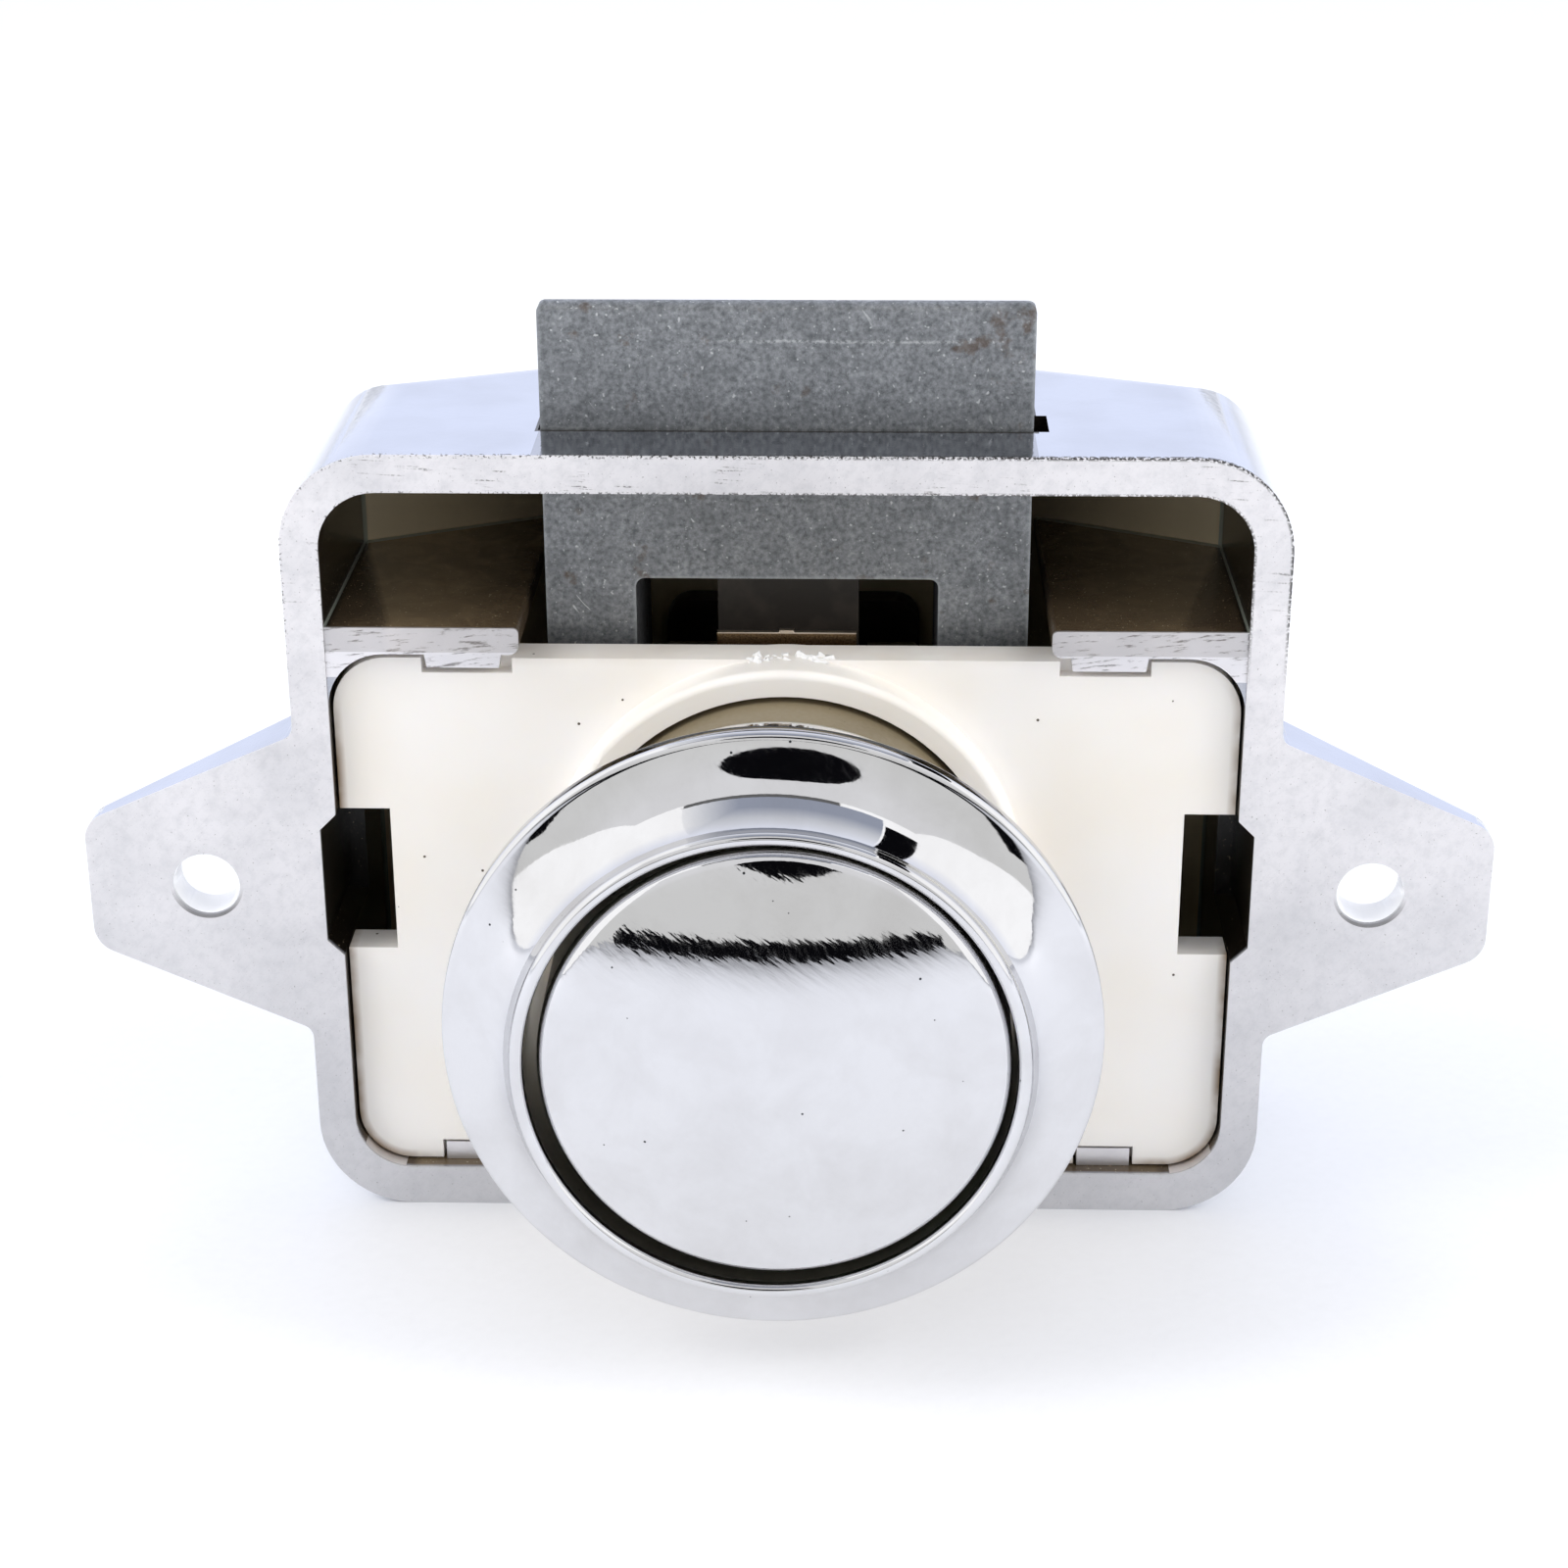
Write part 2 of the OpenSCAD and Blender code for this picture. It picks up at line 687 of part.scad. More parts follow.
module track_outline() {
    difference() {
        round_box(-lane_x - 0.85, lane_x + 0.85, tip_y - 1.5, tip_y + knob_travel + 0.75, 0.8);
        polygon([
            [0, tip_y + 5.9], [-0.95, tip_y + 3.5], [-1.05, tip_y + 1.3], [-0.7, tip_y + 0.65],
            [0, tip_y + 1.25], [0.7, tip_y + 0.65], [1.05, tip_y + 1.3], [0.95, tip_y + 3.5]
        ]);
    }
}

// The shank keeps the barrel's round below and on its cheeks, so it is guided when the knob is out
module shank() {
    intersection() {
        rod_y(barrel_r, barrel_end - 1, shank_end);
        along_y(barrel_end - 1, shank_end) difference() {
            translate([-shank_w / 2, -barrel_r]) square([shank_w, barrel_r + cheek_z]);
            translate([-floor_w / 2, shank_flat]) square([floor_w, barrel_r]);
        }
    }
}

module plunger() {
    color("Ivory") difference() {
        union() {
            rod_y(cup_in_r - 0.03, hub_y + 0.05, cup_y1 + 1);
            rod_y(barrel_r, cup_y1 + 0.1, barrel_end);
            shank();
        }
        // Hollow front of the barrel round its hub, open under the knob
        turned() polygon([
            [5, hub_y - 1], [cup_in_r - 1.6, hub_y - 1], [cup_in_r - 1.6, -1.6], [5, -1.6]
        ]);
        // Socket for the knob's boss, hole for its screw, and the return spring's bore
        rod_y(3.3, hub_y - 1, head_y - 4);
        rod_y(knob_screw_d / 2 + 0.15, head_y - 5, head_y + 1);
        rod_y(spring_bore_r, head_y, shank_end + 1);
        along_z(shank_flat - track_d, shank_flat + 1) track_outline();
        translate([0, cam_y, 0]) both_sides() rod_x(cam_pin_d / 2, cam_in, shank_w);
    }
}

module cam_pin() {
    translate([0, cam_y, 0]) rod_x(cam_pin_d / 2, cam_in, cam_out);
}

module cam_pin_left() {
    color("LightSteelBlue") mirror([1, 0, 0]) cam_pin();
}

module cam_pin_right() {
    color("LightSteelBlue") cam_pin();
}

// Knob: a bright cup with a domed face, a rounded edge and a screw boss inside

function dome_arc(r, end) = [for (i = [0:8]) [r * sin(end * i / 8), dome_y - r * cos(end * i / 8)]];

function edge_arc() =
    [for (i = [1:6]) let (t = dome_end + (90 - dome_end) * i / 6)
        [edge_x + knob_edge_r * sin(t), cup_y0 + knob_edge_r - knob_edge_r * cos(t)]];

module knob_cap() {
    color("Gainsboro") difference() {
        union() {
            turned() difference() {
                polygon(concat(
                    [[0, cup_y1]], dome_arc(dome_r, dome_end), edge_arc(), [[knob_d / 2, cup_y1]]
                ));
                polygon(concat(
                    [[0, cup_y1 + 1]], dome_arc(inner_dome_r, inner_dome_end), [[cup_in_r, cup_y1 + 1]]
                ));
            }
            rod_y(3.0, dome_y - inner_dome_r - knob_face_t / 2, head_y - 4.3);
        }
        rod_y(knob_screw_d / 2 - 0.25, hub_y + 0.6, head_y - 3);
    }
}

module knob_screw() {
    color("DarkGray") difference() {
        union() {
            rod_y(knob_screw_d / 2 - 0.25, hub_y + 1.4, head_y + washer_t + e);
            rod_y(spring_bore_r - 0.35, head_y + washer_t, head_y + washer_t + head_t);
        }
        translate([-0.35, head_y + washer_t + head_t - 0.9, -3]) cube([0.7, 2, 6]);
        translate([-3, head_y + washer_t + head_t - 0.9, -0.35]) cube([6, 2, 0.7]);
    }
}

module knob_washer() {
    color("Silver") difference() {
        rod_y(spring_bore_r - 0.15, head_y, head_y + washer_t);
        rod_y(knob_screw_d / 2 + 0.1, head_y - 1, head_y + 2);
    }
}

// Rosette: a flange that sweeps up to a rounded lip, and a sleeve through the door

module rosette() {
    r = rosette_d / 2;
    front = flange_y - flange_t;
    lip = sleeve_in_r + 2 * bead_r;
    // Two arcs: a shallow one from a slope of 16 degrees to the knee, and the throat up to 80
    rim = r - 0.35;
    sweep_r = sweep_share * (rim - lip) / (sin(knee) - sin(16));
    throat_r = (1 - sweep_share) * (rim - lip) / (sin(80) - sin(knee));
    rise = sweep_r * (cos(16) - cos(knee)) + throat_r * (cos(knee) - cos(80));
    tall = front + knob_face - bead_r - lip_land;
    throat = [for (i = [0:12]) let (t = 80 + (knee - 80) * i / 12)
        [lip + throat_r * (sin(80) - sin(t)), rise - throat_r * (cos(t) - cos(80))]];
    sweep = [for (i = [1:6]) let (t = knee + (16 - knee) * i / 6)
        [rim - sweep_r * (sin(t) - sin(16)), sweep_r * (cos(16) - cos(t))]];
    color("Gainsboro") translate([-rosette_sag, 0, 0]) turned() difference() {
        union() {
            translate([sleeve_in_r, flange_y - 1]) square([sleeve_d / 2 - sleeve_in_r, sleeve_len + 1]);
            round_poly(
                [[sleeve_in_r, flange_y], [sleeve_in_r, front], [r, front], [r, flange_y]],
                [0, 0, 0.35, 0.3]
            );
            polygon(concat(
                [[sleeve_in_r, front + 0.1], [sleeve_in_r, front - tall]],
                [for (p = concat(throat, sweep)) [p[0], front - p[1] * tall / rise]],
                [[rim - 0.05, front + 0.1]]
            ));
            translate([sleeve_in_r, -knob_face + bead_r]) square([2 * bead_r, lip_land + e]);
            translate([sleeve_in_r + bead_r, -knob_face + bead_r]) circle(r = bead_r, $fn = 32);
        }
        // Lead-in at the sleeve's end
        polygon([
            [sleeve_d / 2 - 0.3, sleeve_y + e], [sleeve_d / 2 + 1, sleeve_y - 1.3],
            [sleeve_d / 2 + 1, sleeve_y + 1], [sleeve_d / 2 - 0.3, sleeve_y + 1]
        ]);
    }
}

// Cradle: a moulding on the housing's back, with the post, the spring peg and the wire's pivot

module cradle() {
    color("DimGray") difference() {
        union() {
            along_y(cradle_y0, back_in) round_box(-cradle_w / 2, cradle_w / 2, -11.5, cradle_top, 1.5);
            along_y(post_y, back_in) round_box(-post_w / 2, post_w / 2, post_z, post_top, 0.3);
            rod_y(return_d / 2 - return_wire / 2 - 0.2, cradle_y0 - 7, cradle_y0 + 0.5);
        }
        for (z = cradle_screw_z) translate([0, 0, z]) {
            rod_y(cradle_screw_d / 2 + 0.1, cradle_y0 - 1, back_in + 1);
            rod_y(2.2, cradle_y0 - 1, cradle_y0 + 0.7);
        }
        translate([0, pivot_y, post_z - 1]) cylinder(r = wire_d / 2 + 0.04, h = 4, $fn = 24);
        for (x = [-rivet_x, rivet_x])
            translate([x, rivet_y, post_z - 1]) cylinder(r = 0.5, h = 3.5, $fn = 24);
    }
}

module cradle_screw(z) {
    color("DarkGray") translate([0, 0, z]) difference() {
        union() {
            rod_y(cradle_screw_d / 2 - 0.15, cradle_y0 + 0.6, body_depth - 0.7);
            rod_y(2.0, cradle_y0 - 0.75, cradle_y0 + 0.7);
        }
        translate([-0.3, cradle_y0 - 2, -3]) cube([0.6, 1.9, 6]);
        translate([-3, cradle_y0 - 2, -0.3]) cube([6, 1.9, 0.6]);
    }
}

module cradle_screw_upper() {
    cradle_screw(cradle_screw_z[1]);
}

module cradle_screw_lower() {
    cradle_screw(cradle_screw_z[0]);
}

module return_spring() {
    y0 = head_y + washer_t + head_t + 0.02;
    h = cradle_y0 - 0.02 - y0;
    color("LightGray") translate([0, y0, 0]) rotate([-90, 0, 0])
        coil(return_d / 2, return_turns, h, return_wire);
}

// Follower: a cranked wire that swings about its upright end while its tip runs in the track

module follower_wire() {
    reach = pivot_y - tip_y;
    swing = atan2(lane_x, reach);
    length = norm([lane_x, reach]);
    r = wire_d / 2;
    color("LightSlateGray") translate([0, pivot_y, 0]) rotate([0, 0, swing]) union() {
        translate([0, 0, arm_z]) cylinder(r = r, h = post_z + 2.4 - arm_z, $fn = 24);
        translate([0, -length, shank_flat - track_d + 0.25])
            cylinder(r = r, h = arm_z - shank_flat + track_d - 0.25, $fn = 24);
        translate([0, 0, arm_z]) rod_y(r, -length, 0);
        translate([0, 0, arm_z]) sphere(r = r, $fn = 24);
        translate([0, -length, arm_z]) sphere(r = r, $fn = 24);
    }
}

// Leaf spring: lies on the follower, is riveted under the post, and shows its turned-up front

module leaf_spring() {
    y_back = pivot_y - 1.6;
    bend = [rivet_y - 4.6, rivet_y - 2];
    color("Peru") difference() {
        union() {
            along_x(-leaf_w / 2, leaf_w / 2) polygon([
                [leaf_y0, leaf_low], [bend[0], leaf_low], [bend[1], post_z - leaf_t],
                [y_back, post_z - leaf_t], [y_back, post_z], [bend[1] - 0.05, post_z],
                [bend[0] - 0.1, leaf_low + leaf_t],
                [leaf_y0 + leaf_t, leaf_low + leaf_t], [leaf_y0 + leaf_t, leaf_top],
                [leaf_y0, leaf_top]
            ]);
            along_x(-0.9, 0.9) translate([leaf_y0, leaf_top - 0.5]) square([leaf_t, 0.72]);
        }
        for (x = [-rivet_x, rivet_x])
            translate([x, rivet_y, post_z - 2]) cylinder(r = 0.5, h = 4, $fn = 24);
    }
}

module leaf_rivet(x) {
    color("Silver") translate([x, rivet_y, post_z - leaf_t]) union() {
        translate([0, 0, -0.5]) cylinder(r = 0.85, h = 0.5, $fn = 24);
        translate([0, 0, -e]) cylinder(r = 0.5, h = leaf_t + 2.4, $fn = 24);
    }
}

module leaf_rivet_left() {
    leaf_rivet(-rivet_x);
}

module leaf_rivet_right() {
    leaf_rivet(rivet_x);
}

// Bolt springs on their guide pins

module bolt_spring() {
    color("LightGray") translate([leg_mid, bolt_mid_y, -in_bottom + 0.02])
        coil(bolt_spring_d / 2, bolt_spring_turns, pocket_z + in_bottom - 0.04, bolt_spring_wire);
}

module bolt_spring_left() {
    mirror([1, 0, 0]) bolt_spring();
}

module bolt_spring_right() {
    bolt_spring();
}

module guide_pin() {
    color("LightSteelBlue") translate([leg_mid, bolt_mid_y, guide_pin_z0])
        cylinder(r = guide_pin_d / 2, h = guide_pin_z1 - guide_pin_z0, $fn = 32);
}

module guide_pin_left() {
    mirror([1, 0, 0]) guide_pin();
}

module guide_pin_right() {
    guide_pin();
}

housing();
cover_plate();
latch_bolt();
plunger();
knob_cap();
knob_screw();
knob_washer();
rosette();
cam_pin_left();
cam_pin_right();
cradle();
cradle_screw_upper();
cradle_screw_lower();
return_spring();
follower_wire();
leaf_spring();
leaf_rivet_left();
leaf_rivet_right();
bolt_spring_left();
bolt_spring_right();
guide_pin_left();
guide_pin_right();
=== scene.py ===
import math
import bpy
from mathutils import Matrix, Vector


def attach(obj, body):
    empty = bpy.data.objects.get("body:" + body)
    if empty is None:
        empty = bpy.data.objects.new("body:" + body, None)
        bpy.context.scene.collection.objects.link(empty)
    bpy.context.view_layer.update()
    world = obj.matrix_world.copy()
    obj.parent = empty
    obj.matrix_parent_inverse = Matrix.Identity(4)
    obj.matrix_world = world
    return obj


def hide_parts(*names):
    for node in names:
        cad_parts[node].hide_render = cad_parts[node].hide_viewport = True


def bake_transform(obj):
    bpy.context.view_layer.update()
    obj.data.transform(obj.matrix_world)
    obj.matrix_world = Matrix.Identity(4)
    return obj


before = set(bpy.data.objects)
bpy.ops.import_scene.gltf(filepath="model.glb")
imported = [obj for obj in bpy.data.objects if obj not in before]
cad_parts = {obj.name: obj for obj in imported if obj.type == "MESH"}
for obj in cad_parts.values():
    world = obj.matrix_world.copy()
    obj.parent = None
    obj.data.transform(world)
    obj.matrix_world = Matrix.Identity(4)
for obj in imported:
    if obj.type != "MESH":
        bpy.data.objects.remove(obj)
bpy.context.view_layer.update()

scene = bpy.context.scene
scene.view_settings.view_transform = "Standard"
bpy.ops.object.select_all(action="DESELECT")
mm = 0.001


def linear(hexText):
    channels = [int(hexText[i:i + 2], 16) / 255 for i in (1, 3, 5)]
    return [c / 12.92 if c <= 0.04045 else ((c + 0.055) / 1.055) ** 2.4 for c in channels] + [1.0]


def addNode(tree, kind, inputs=None, stops=None, **settings):
    node = tree.nodes.new("ShaderNode" + kind)
    for name, value in settings.items():
        setattr(node, name, value)
    for key, value in (inputs or {}).items():
        if isinstance(value, bpy.types.Node):  # a whole node stands for its first live output
            value = next(socket for socket in value.outputs if socket.enabled)
        if isinstance(value, bpy.types.NodeSocket):
            tree.links.new(value, node.inputs[key])
        else:
            node.inputs[key].default_value = value
    if stops:
        ramp = node.color_ramp
        while len(ramp.elements) < len(stops):
            ramp.elements.new(0.5)
        for element, (position, level) in zip(ramp.elements, stops):
            element.position = position
            element.color = (level, level, level, 1)
    return node


def newMaterial(name):
    # Every pattern below reads object coordinates in millimetres, so a Scale is 1 over a real size
    material = bpy.data.materials.new(name)
    material.use_nodes = True
    tree = material.node_tree
    tree.nodes.clear()
    spot = addNode(tree, "TexCoord").outputs["Object"]
    return material, tree, addNode(tree, "VectorMath", {0: spot, "Scale": 1000.0}, operation="SCALE")


def outlineDistance(tree, inMm, shape):
    # Millimetres from a rounded rectangle seen from the front, negative inside it
    middle = (shape["top"] + shape["bottom"]) / 2
    core = (shape["halfX"] - shape["corner"], 0, (shape["top"] - shape["bottom"]) / 2 - shape["corner"])
    flat = addNode(tree, "VectorMath", {0: inMm, 1: (1, 0, 1), 2: (0, 0, -middle)}, operation="MULTIPLY_ADD")
    folded = addNode(tree, "VectorMath", {0: flat}, operation="ABSOLUTE")
    beyond = addNode(tree, "VectorMath", {0: folded, 1: core}, operation="SUBTRACT")
    outside = addNode(tree, "VectorMath", {0: beyond, 1: (0, 0, 0)}, operation="MAXIMUM")
    reach = addNode(tree, "VectorMath", {0: outside}, operation="LENGTH")
    parts = addNode(tree, "SeparateXYZ", {0: beyond}).outputs
    deepest = addNode(tree, "Math", {0: parts[0], 1: parts[2]}, operation="MAXIMUM")
    within = addNode(tree, "Math", {0: deepest, 1: 0.0}, operation="MINIMUM")
    total = addNode(tree, "Math", {0: reach, 1: within}, operation="ADD")
    return addNode(tree, "Math", {0: total, 1: shape["corner"]}, operation="SUBTRACT")


def apart(tree, value, place):
    # How far a value is from a place, on either side
    over = addNode(tree, "Math", {0: value, 1: place}, operation="SUBTRACT")
    return addNode(tree, "Math", {0: over}, operation="ABSOLUTE")


def combine(tree, how, *parts):
    # "MULTIPLY" keeps where all the masks hold, "MAXIMUM" where any does; a tuple is a test, made into a mask first
    mask = None
    for part in parts:
        if isinstance(part, tuple):
            value, test, *limits = part
            part = addNode(tree, "Math", dict(enumerate([value, *limits])), operation=test)
        mask = part if mask is None else addNode(tree, "Math", {0: mask, 1: part}, operation=how)
    return mask


def painted(tree, colour, *coats):
    # Each coat is a share and a hex colour, and the last one lies on top
    for share, hexText in coats:
        colour = addNode(tree, "Mix", {0: share, 6: colour, 7: linear(hexText)}, data_type="RGBA")
    return colour


def blotches(tree, place, size, detail, *stops, **more):
    # Noise with lumps of a size in mm, through a grey ramp
    noise = addNode(tree, "TexNoise", {"Vector": place, "Scale": 1 / size, "Detail": detail, **more})
    return addNode(tree, "ValToRGB", {0: noise}, stops=stops)


def surface(material, colour, rough, bump, others=None):
    # The bump is a height, a strength and a depth, and a normal under it where there is one
    tree = material.node_tree
    normal = addNode(tree, "Bump", dict(zip(("Height", "Strength", "Distance", "Normal"), bump)))
    shader = addNode(tree, "BsdfPrincipled", {
        "Base Color": colour, "Roughness": rough, "Normal": normal, **(others or {})})
    addNode(tree, "OutputMaterial", {0: shader})
    return material


print("materials")

# Zinc die casting, nickel plated: white and glossy outside. The rim, the ears and the cross walls are ground
# flat, so they are matt and scratched, with chips along their edges. No plating reached the inside, which is
# painted a glossy dark brown, darkened as painted shade, with painted light and painted shade laid over it.
platedLook = {
    "bright": "#D3D7E1", "bore": "#FBFBFB", "ground": "#EFEDEF", "dull": "#A9ABB0", "line": "#57534F",
    "chipAndShadeLine": "#1F1B18", "brown": "#43372A", "brownPaintedLight": "#A5906F", "shadow": "#15110D", "fillet": "#A2A99F",
    "backLit": "#D9C9A9", "grain": 0.35, "streak": 0.17, "hair": 0.16, "chipSize": 0.17, "speck": 0.14,
    "rimDepth": 0.13, "wall": 2.05, "halfX": 26.65, "top": 24.7, "bottom": -20.1, "corner": 5.2,
    "sideWall": 24.6, "backFlat": 13.4, "backWall": 20.45, "backSide": 14.85, "pocketX": 26.1, "pocketZ": 5.6,
    "floorAt": 15.1, "crossWall": 14.0, "tabsAt": 15.0, "middle": -2.0, "tabDepth": 2.0, "slotX": 13.3,
    "slotY": 4.74, "slotStep": 14.0, "boltBack": 16.1, "earHole": 32.0, "holeRadius": 1.85, "burrFrom": 14.0,
    "burrHalf": 1.5, "tabHalf": 0.72, "filletShare": 0.6, "shelfShadeShare": 0.35,
}


def platedZinc(look):
    material, tree, inMm = newMaterial("nickelPlatedZincCasting")
    x, y, z = addNode(tree, "SeparateXYZ", {0: inMm}).outputs[:3]
    aside = addNode(tree, "Math", {0: x}, operation="ABSOLUTE")
    away = outlineDistance(tree, inMm, look)
    grain = addNode(tree, "TexNoise", {"Vector": inMm, "Scale": 1 / look["grain"], "Detail": 4.0})
    broken = addNode(tree, "TexNoise", {"Vector": inMm, "Scale": 1 / look["speck"], "Detail": 2.0})
    onRim = addNode(tree, "Math", {0: y, 1: look["rimDepth"]}, operation="LESS_THAN")
    offRim = addNode(tree, "Math", {0: 1.0, 1: onRim}, operation="SUBTRACT")
    withinRim = addNode(tree, "Math", {0: away, 1: -look["wall"]}, operation="LESS_THAN")
    shallow = addNode(tree, "Math", {0: y, 1: look["tabDepth"]}, operation="LESS_THAN")
    # Scratches: long broken ones along the rim, in groups, and fine ones across the ears
    along, slanted, level = (
        addNode(tree, "Mapping", {
            "Vector": inMm, "Rotation": (0, math.radians(turn), 0), "Scale": (long, 1, 1)}, vector_type="TEXTURE")
        for turn, long in ((3, 16), (-48, 11), (-6, 6)))
    streaks = combine(
        tree, "MULTIPLY", blotches(tree, along, look["streak"], 2.0, (0.60, 0), (0.66, 1)),
        blotches(tree, inMm, 3.2, 2.0, (0.53, 0), (0.62, 1)),
        addNode(tree, "ValToRGB", {0: broken}, stops=((0.44, 0.1), (0.56, 1))),
        addNode(tree, "MapRange", {0: z, 1: 14.0, 2: 20.0, 3: 0.05, 4: 0.85}))
    specks = addNode(tree, "ValToRGB", {0: broken}, stops=((0.66, 0), (0.74, 0.5)))
    streaks = combine(tree, "MAXIMUM", streaks, specks)
    hair = addNode(tree, "TexNoise", {"Vector": slanted, "Scale": 1 / look["hair"], "Detail": 3.0})
    hairLines = addNode(tree, "ValToRGB", {0: hair}, stops=((0.58, 0), (0.85, 0.12)))
    # Chips where the ground faces end: the rim's outer and inner edge, mostly top right
    fromOuter, fromInner = (apart(tree, away, edge) for edge in (0.0, -look["wall"]))
    edges = combine(
        tree, "MAXIMUM", addNode(tree, "MapRange", {0: fromOuter, 1: 0.05, 2: 0.20, 3: 1.0, 4: 0.0}),
        addNode(tree, "MapRange", {0: fromInner, 1: 0.03, 2: 0.15, 3: 0.8, 4: 0.0}))
    chipped = addNode(tree, "TexNoise", {
        "Vector": inMm, "Scale": 1 / look["chipSize"], "Detail": 3.0, "Roughness": 0.6})
    toRight = addNode(tree, "MapRange", {0: x, 1: -20.0, 2: 14.0, 3: -0.07, 4: 0.05})
    chipped = addNode(tree, "Math", {0: chipped, 1: toRight}, operation="ADD")
    chipFront = addNode(tree, "Math", {0: y, 1: 0.32}, operation="LESS_THAN")
    chips = combine(
        tree, "MULTIPLY", edges, addNode(tree, "ValToRGB", {0: chipped}, stops=((0.50, 0), (0.54, 1))),
        addNode(tree, "MapRange", {0: z, 1: 12.0, 2: 16.0, 3: 0.0, 4: 1.0}), chipFront)
    # The cross walls and the peened tabs are burred: dark ragged lines on white metal
    burred = combine(
        tree, "MULTIPLY", (aside, "GREATER_THAN", look["burrFrom"]),
        (z, "COMPARE", look["crossWall"], look["burrHalf"]), shallow, withinRim)
    ragged = blotches(tree, level, 0.20, 4.0, (0.56, 0), (0.66, 0.7), Roughness=0.65)
    burrs = combine(tree, "MULTIPLY", ragged, burred)
    # Inside the box the bare casting shows, in painted light and shade, apart from the tabs in front
    pocket = combine(tree, "MULTIPLY", (aside, "LESS_THAN", look["pocketX"]), (z, "COMPARE", 0.0, look["pocketZ"]))
    backAt = addNode(tree, "MapRange", {
        0: aside, 1: look["backFlat"], 2: look["sideWall"], 3: look["backWall"], 4: look["backSide"]})
    fromBack = addNode(tree, "Math", {0: backAt, 1: y}, operation="SUBTRACT")
    inside = combine(tree, "MAXIMUM", (away, "LESS_THAN", -look["wall"] + 0.06), pocket)
    fromMiddle = apart(tree, z, look["middle"])
    tabs = combine(tree, "MULTIPLY", (fromMiddle, "COMPARE", look["tabsAt"], look["tabHalf"]), shallow, withinRim)
    recess = combine(
        tree, "MULTIPLY", inside, (fromBack, "GREATER_THAN", -0.9),
        addNode(tree, "MapRange", {0: y, 1: 0.06, 2: 0.34, 3: 0.0, 4: 1.0}), (1.0, "SUBTRACT", tabs))
    matt = combine(tree, "MAXIMUM", burred, tabs)
    marks = combine(tree, "MAXIMUM", combine(tree, "MULTIPLY", streaks, onRim), burrs)
    paintedShadeBelow = addNode(tree, "MapRange", {0: z, 1: 14.0, 2: -17.0, 3: 0.0, 4: 0.50})  # painted shade: the ground face darkens downwards
    mottle = blotches(tree, inMm, 0.75, 5.0, (0.45, 0), (0.70, 0.24), Roughness=0.7)
    colour = painted(
        tree, linear(look["bright"]), (combine(tree, "MAXIMUM", onRim, matt), look["ground"]),
        (blotches(tree, inMm, 5.0, 2.0, (0.40, 0), (0.80, 0.30)), look["dull"]),
        *((combine(tree, "MULTIPLY", wear, onRim), look["dull"]) for wear in (paintedShadeBelow, mottle, hairLines)),
        (marks, look["line"]))
    # Painted light and shade inside: pale painted light on the back wall, which slopes forwards beside its flat
    # middle, and on the floor up to a slanting edge, more to the left, towards the back and behind the bolt;
    # painted shade makes the side walls and pockets nearly black, and painted highlights show the fillets as pale
    # lines. The clouds and specks are the casting's own.
    smoke = blotches(tree, inMm, 2.2, 6.0, (0.42, 0), (0.72, 0.42), Roughness=0.65, Distortion=0.6)
    litEdge = addNode(tree, "MapRange", {0: y, 1: 1.0, 2: 15.0, 3: 21.3, 4: 24.6})
    litEdge = addNode(tree, "Math", {0: litEdge, 1: aside}, operation="SUBTRACT")
    lit = combine(
        tree, "MULTIPLY", addNode(tree, "MapRange", {0: aside, 1: 15.0, 2: 21.0, 3: 0.12, 4: 0.80}),
        addNode(tree, "MapRange", {0: litEdge, 1: -0.25, 2: 0.25, 3: 0.0, 4: 1.0}))
    paintedLightBehindBolt = addNode(tree, "MapRange", {0: aside, 1: 12.0, 2: 13.5, 3: 1.0, 4: 0.0})
    cloudsAndPaintedLight = combine(
        tree, "MULTIPLY", addNode(tree, "Math", {0: lit, 1: smoke}, operation="ADD"),
        addNode(tree, "MapRange", {0: y, 1: 3.0, 2: 13.0, 3: 0.32, 4: 0.95}),
        addNode(tree, "MapRange", {0: x, 1: -10.0, 2: 10.0, 3: 1.1, 4: 0.6}))
    sideWallShade = addNode(tree, "MapRange", {
        0: aside, 1: look["sideWall"] - 0.4, 2: look["sideWall"] - 0.15, 3: 0.0, 4: 1.0})
    backWallPaintedLight = combine(
        tree, "MULTIPLY", (fromBack, "LESS_THAN", 0.06),
        addNode(tree, "MapRange", {0: aside, 1: 14.0, 2: 22.0, 3: 0.25, 4: 1.0}))
    sideFilletHighlight = combine(
        tree, "MULTIPLY", (aside, "COMPARE", look["sideWall"] - 0.05, 0.06),
        (z, "COMPARE", look["floorAt"], 0.12), look["filletShare"])
    # painted light and painted shade over the inside's dark brown
    bare = painted(
        tree, linear(look["brown"]), (combine(tree, "MAXIMUM", cloudsAndPaintedLight, paintedLightBehindBolt), look["brownPaintedLight"]),
        (combine(tree, "MAXIMUM", sideWallShade, pocket), look["shadow"]),
        (addNode(tree, "ValToRGB", {0: broken}, stops=((0.69, 0), (0.76, 0.8))), look["backLit"]),
        (combine(tree, "MAXIMUM", backWallPaintedLight, paintedLightBehindBolt), look["backLit"]),
        (combine(tree, "MAXIMUM", (fromBack, "COMPARE", 0.34, 0.28), sideFilletHighlight), look["fillet"]))
    # Painted shade darkens the top face in front of the bolt, and the screw hole walls are painted white as a painted
    # reflection
    holeAway = addNode(tree, "Math", {0: aside, 1: look["earHole"]}, operation="SUBTRACT")
    holeAway = addNode(tree, "CombineXYZ", {0: holeAway, 1: z})
    holeAway = addNode(tree, "VectorMath", {0: holeAway}, operation="LENGTH")
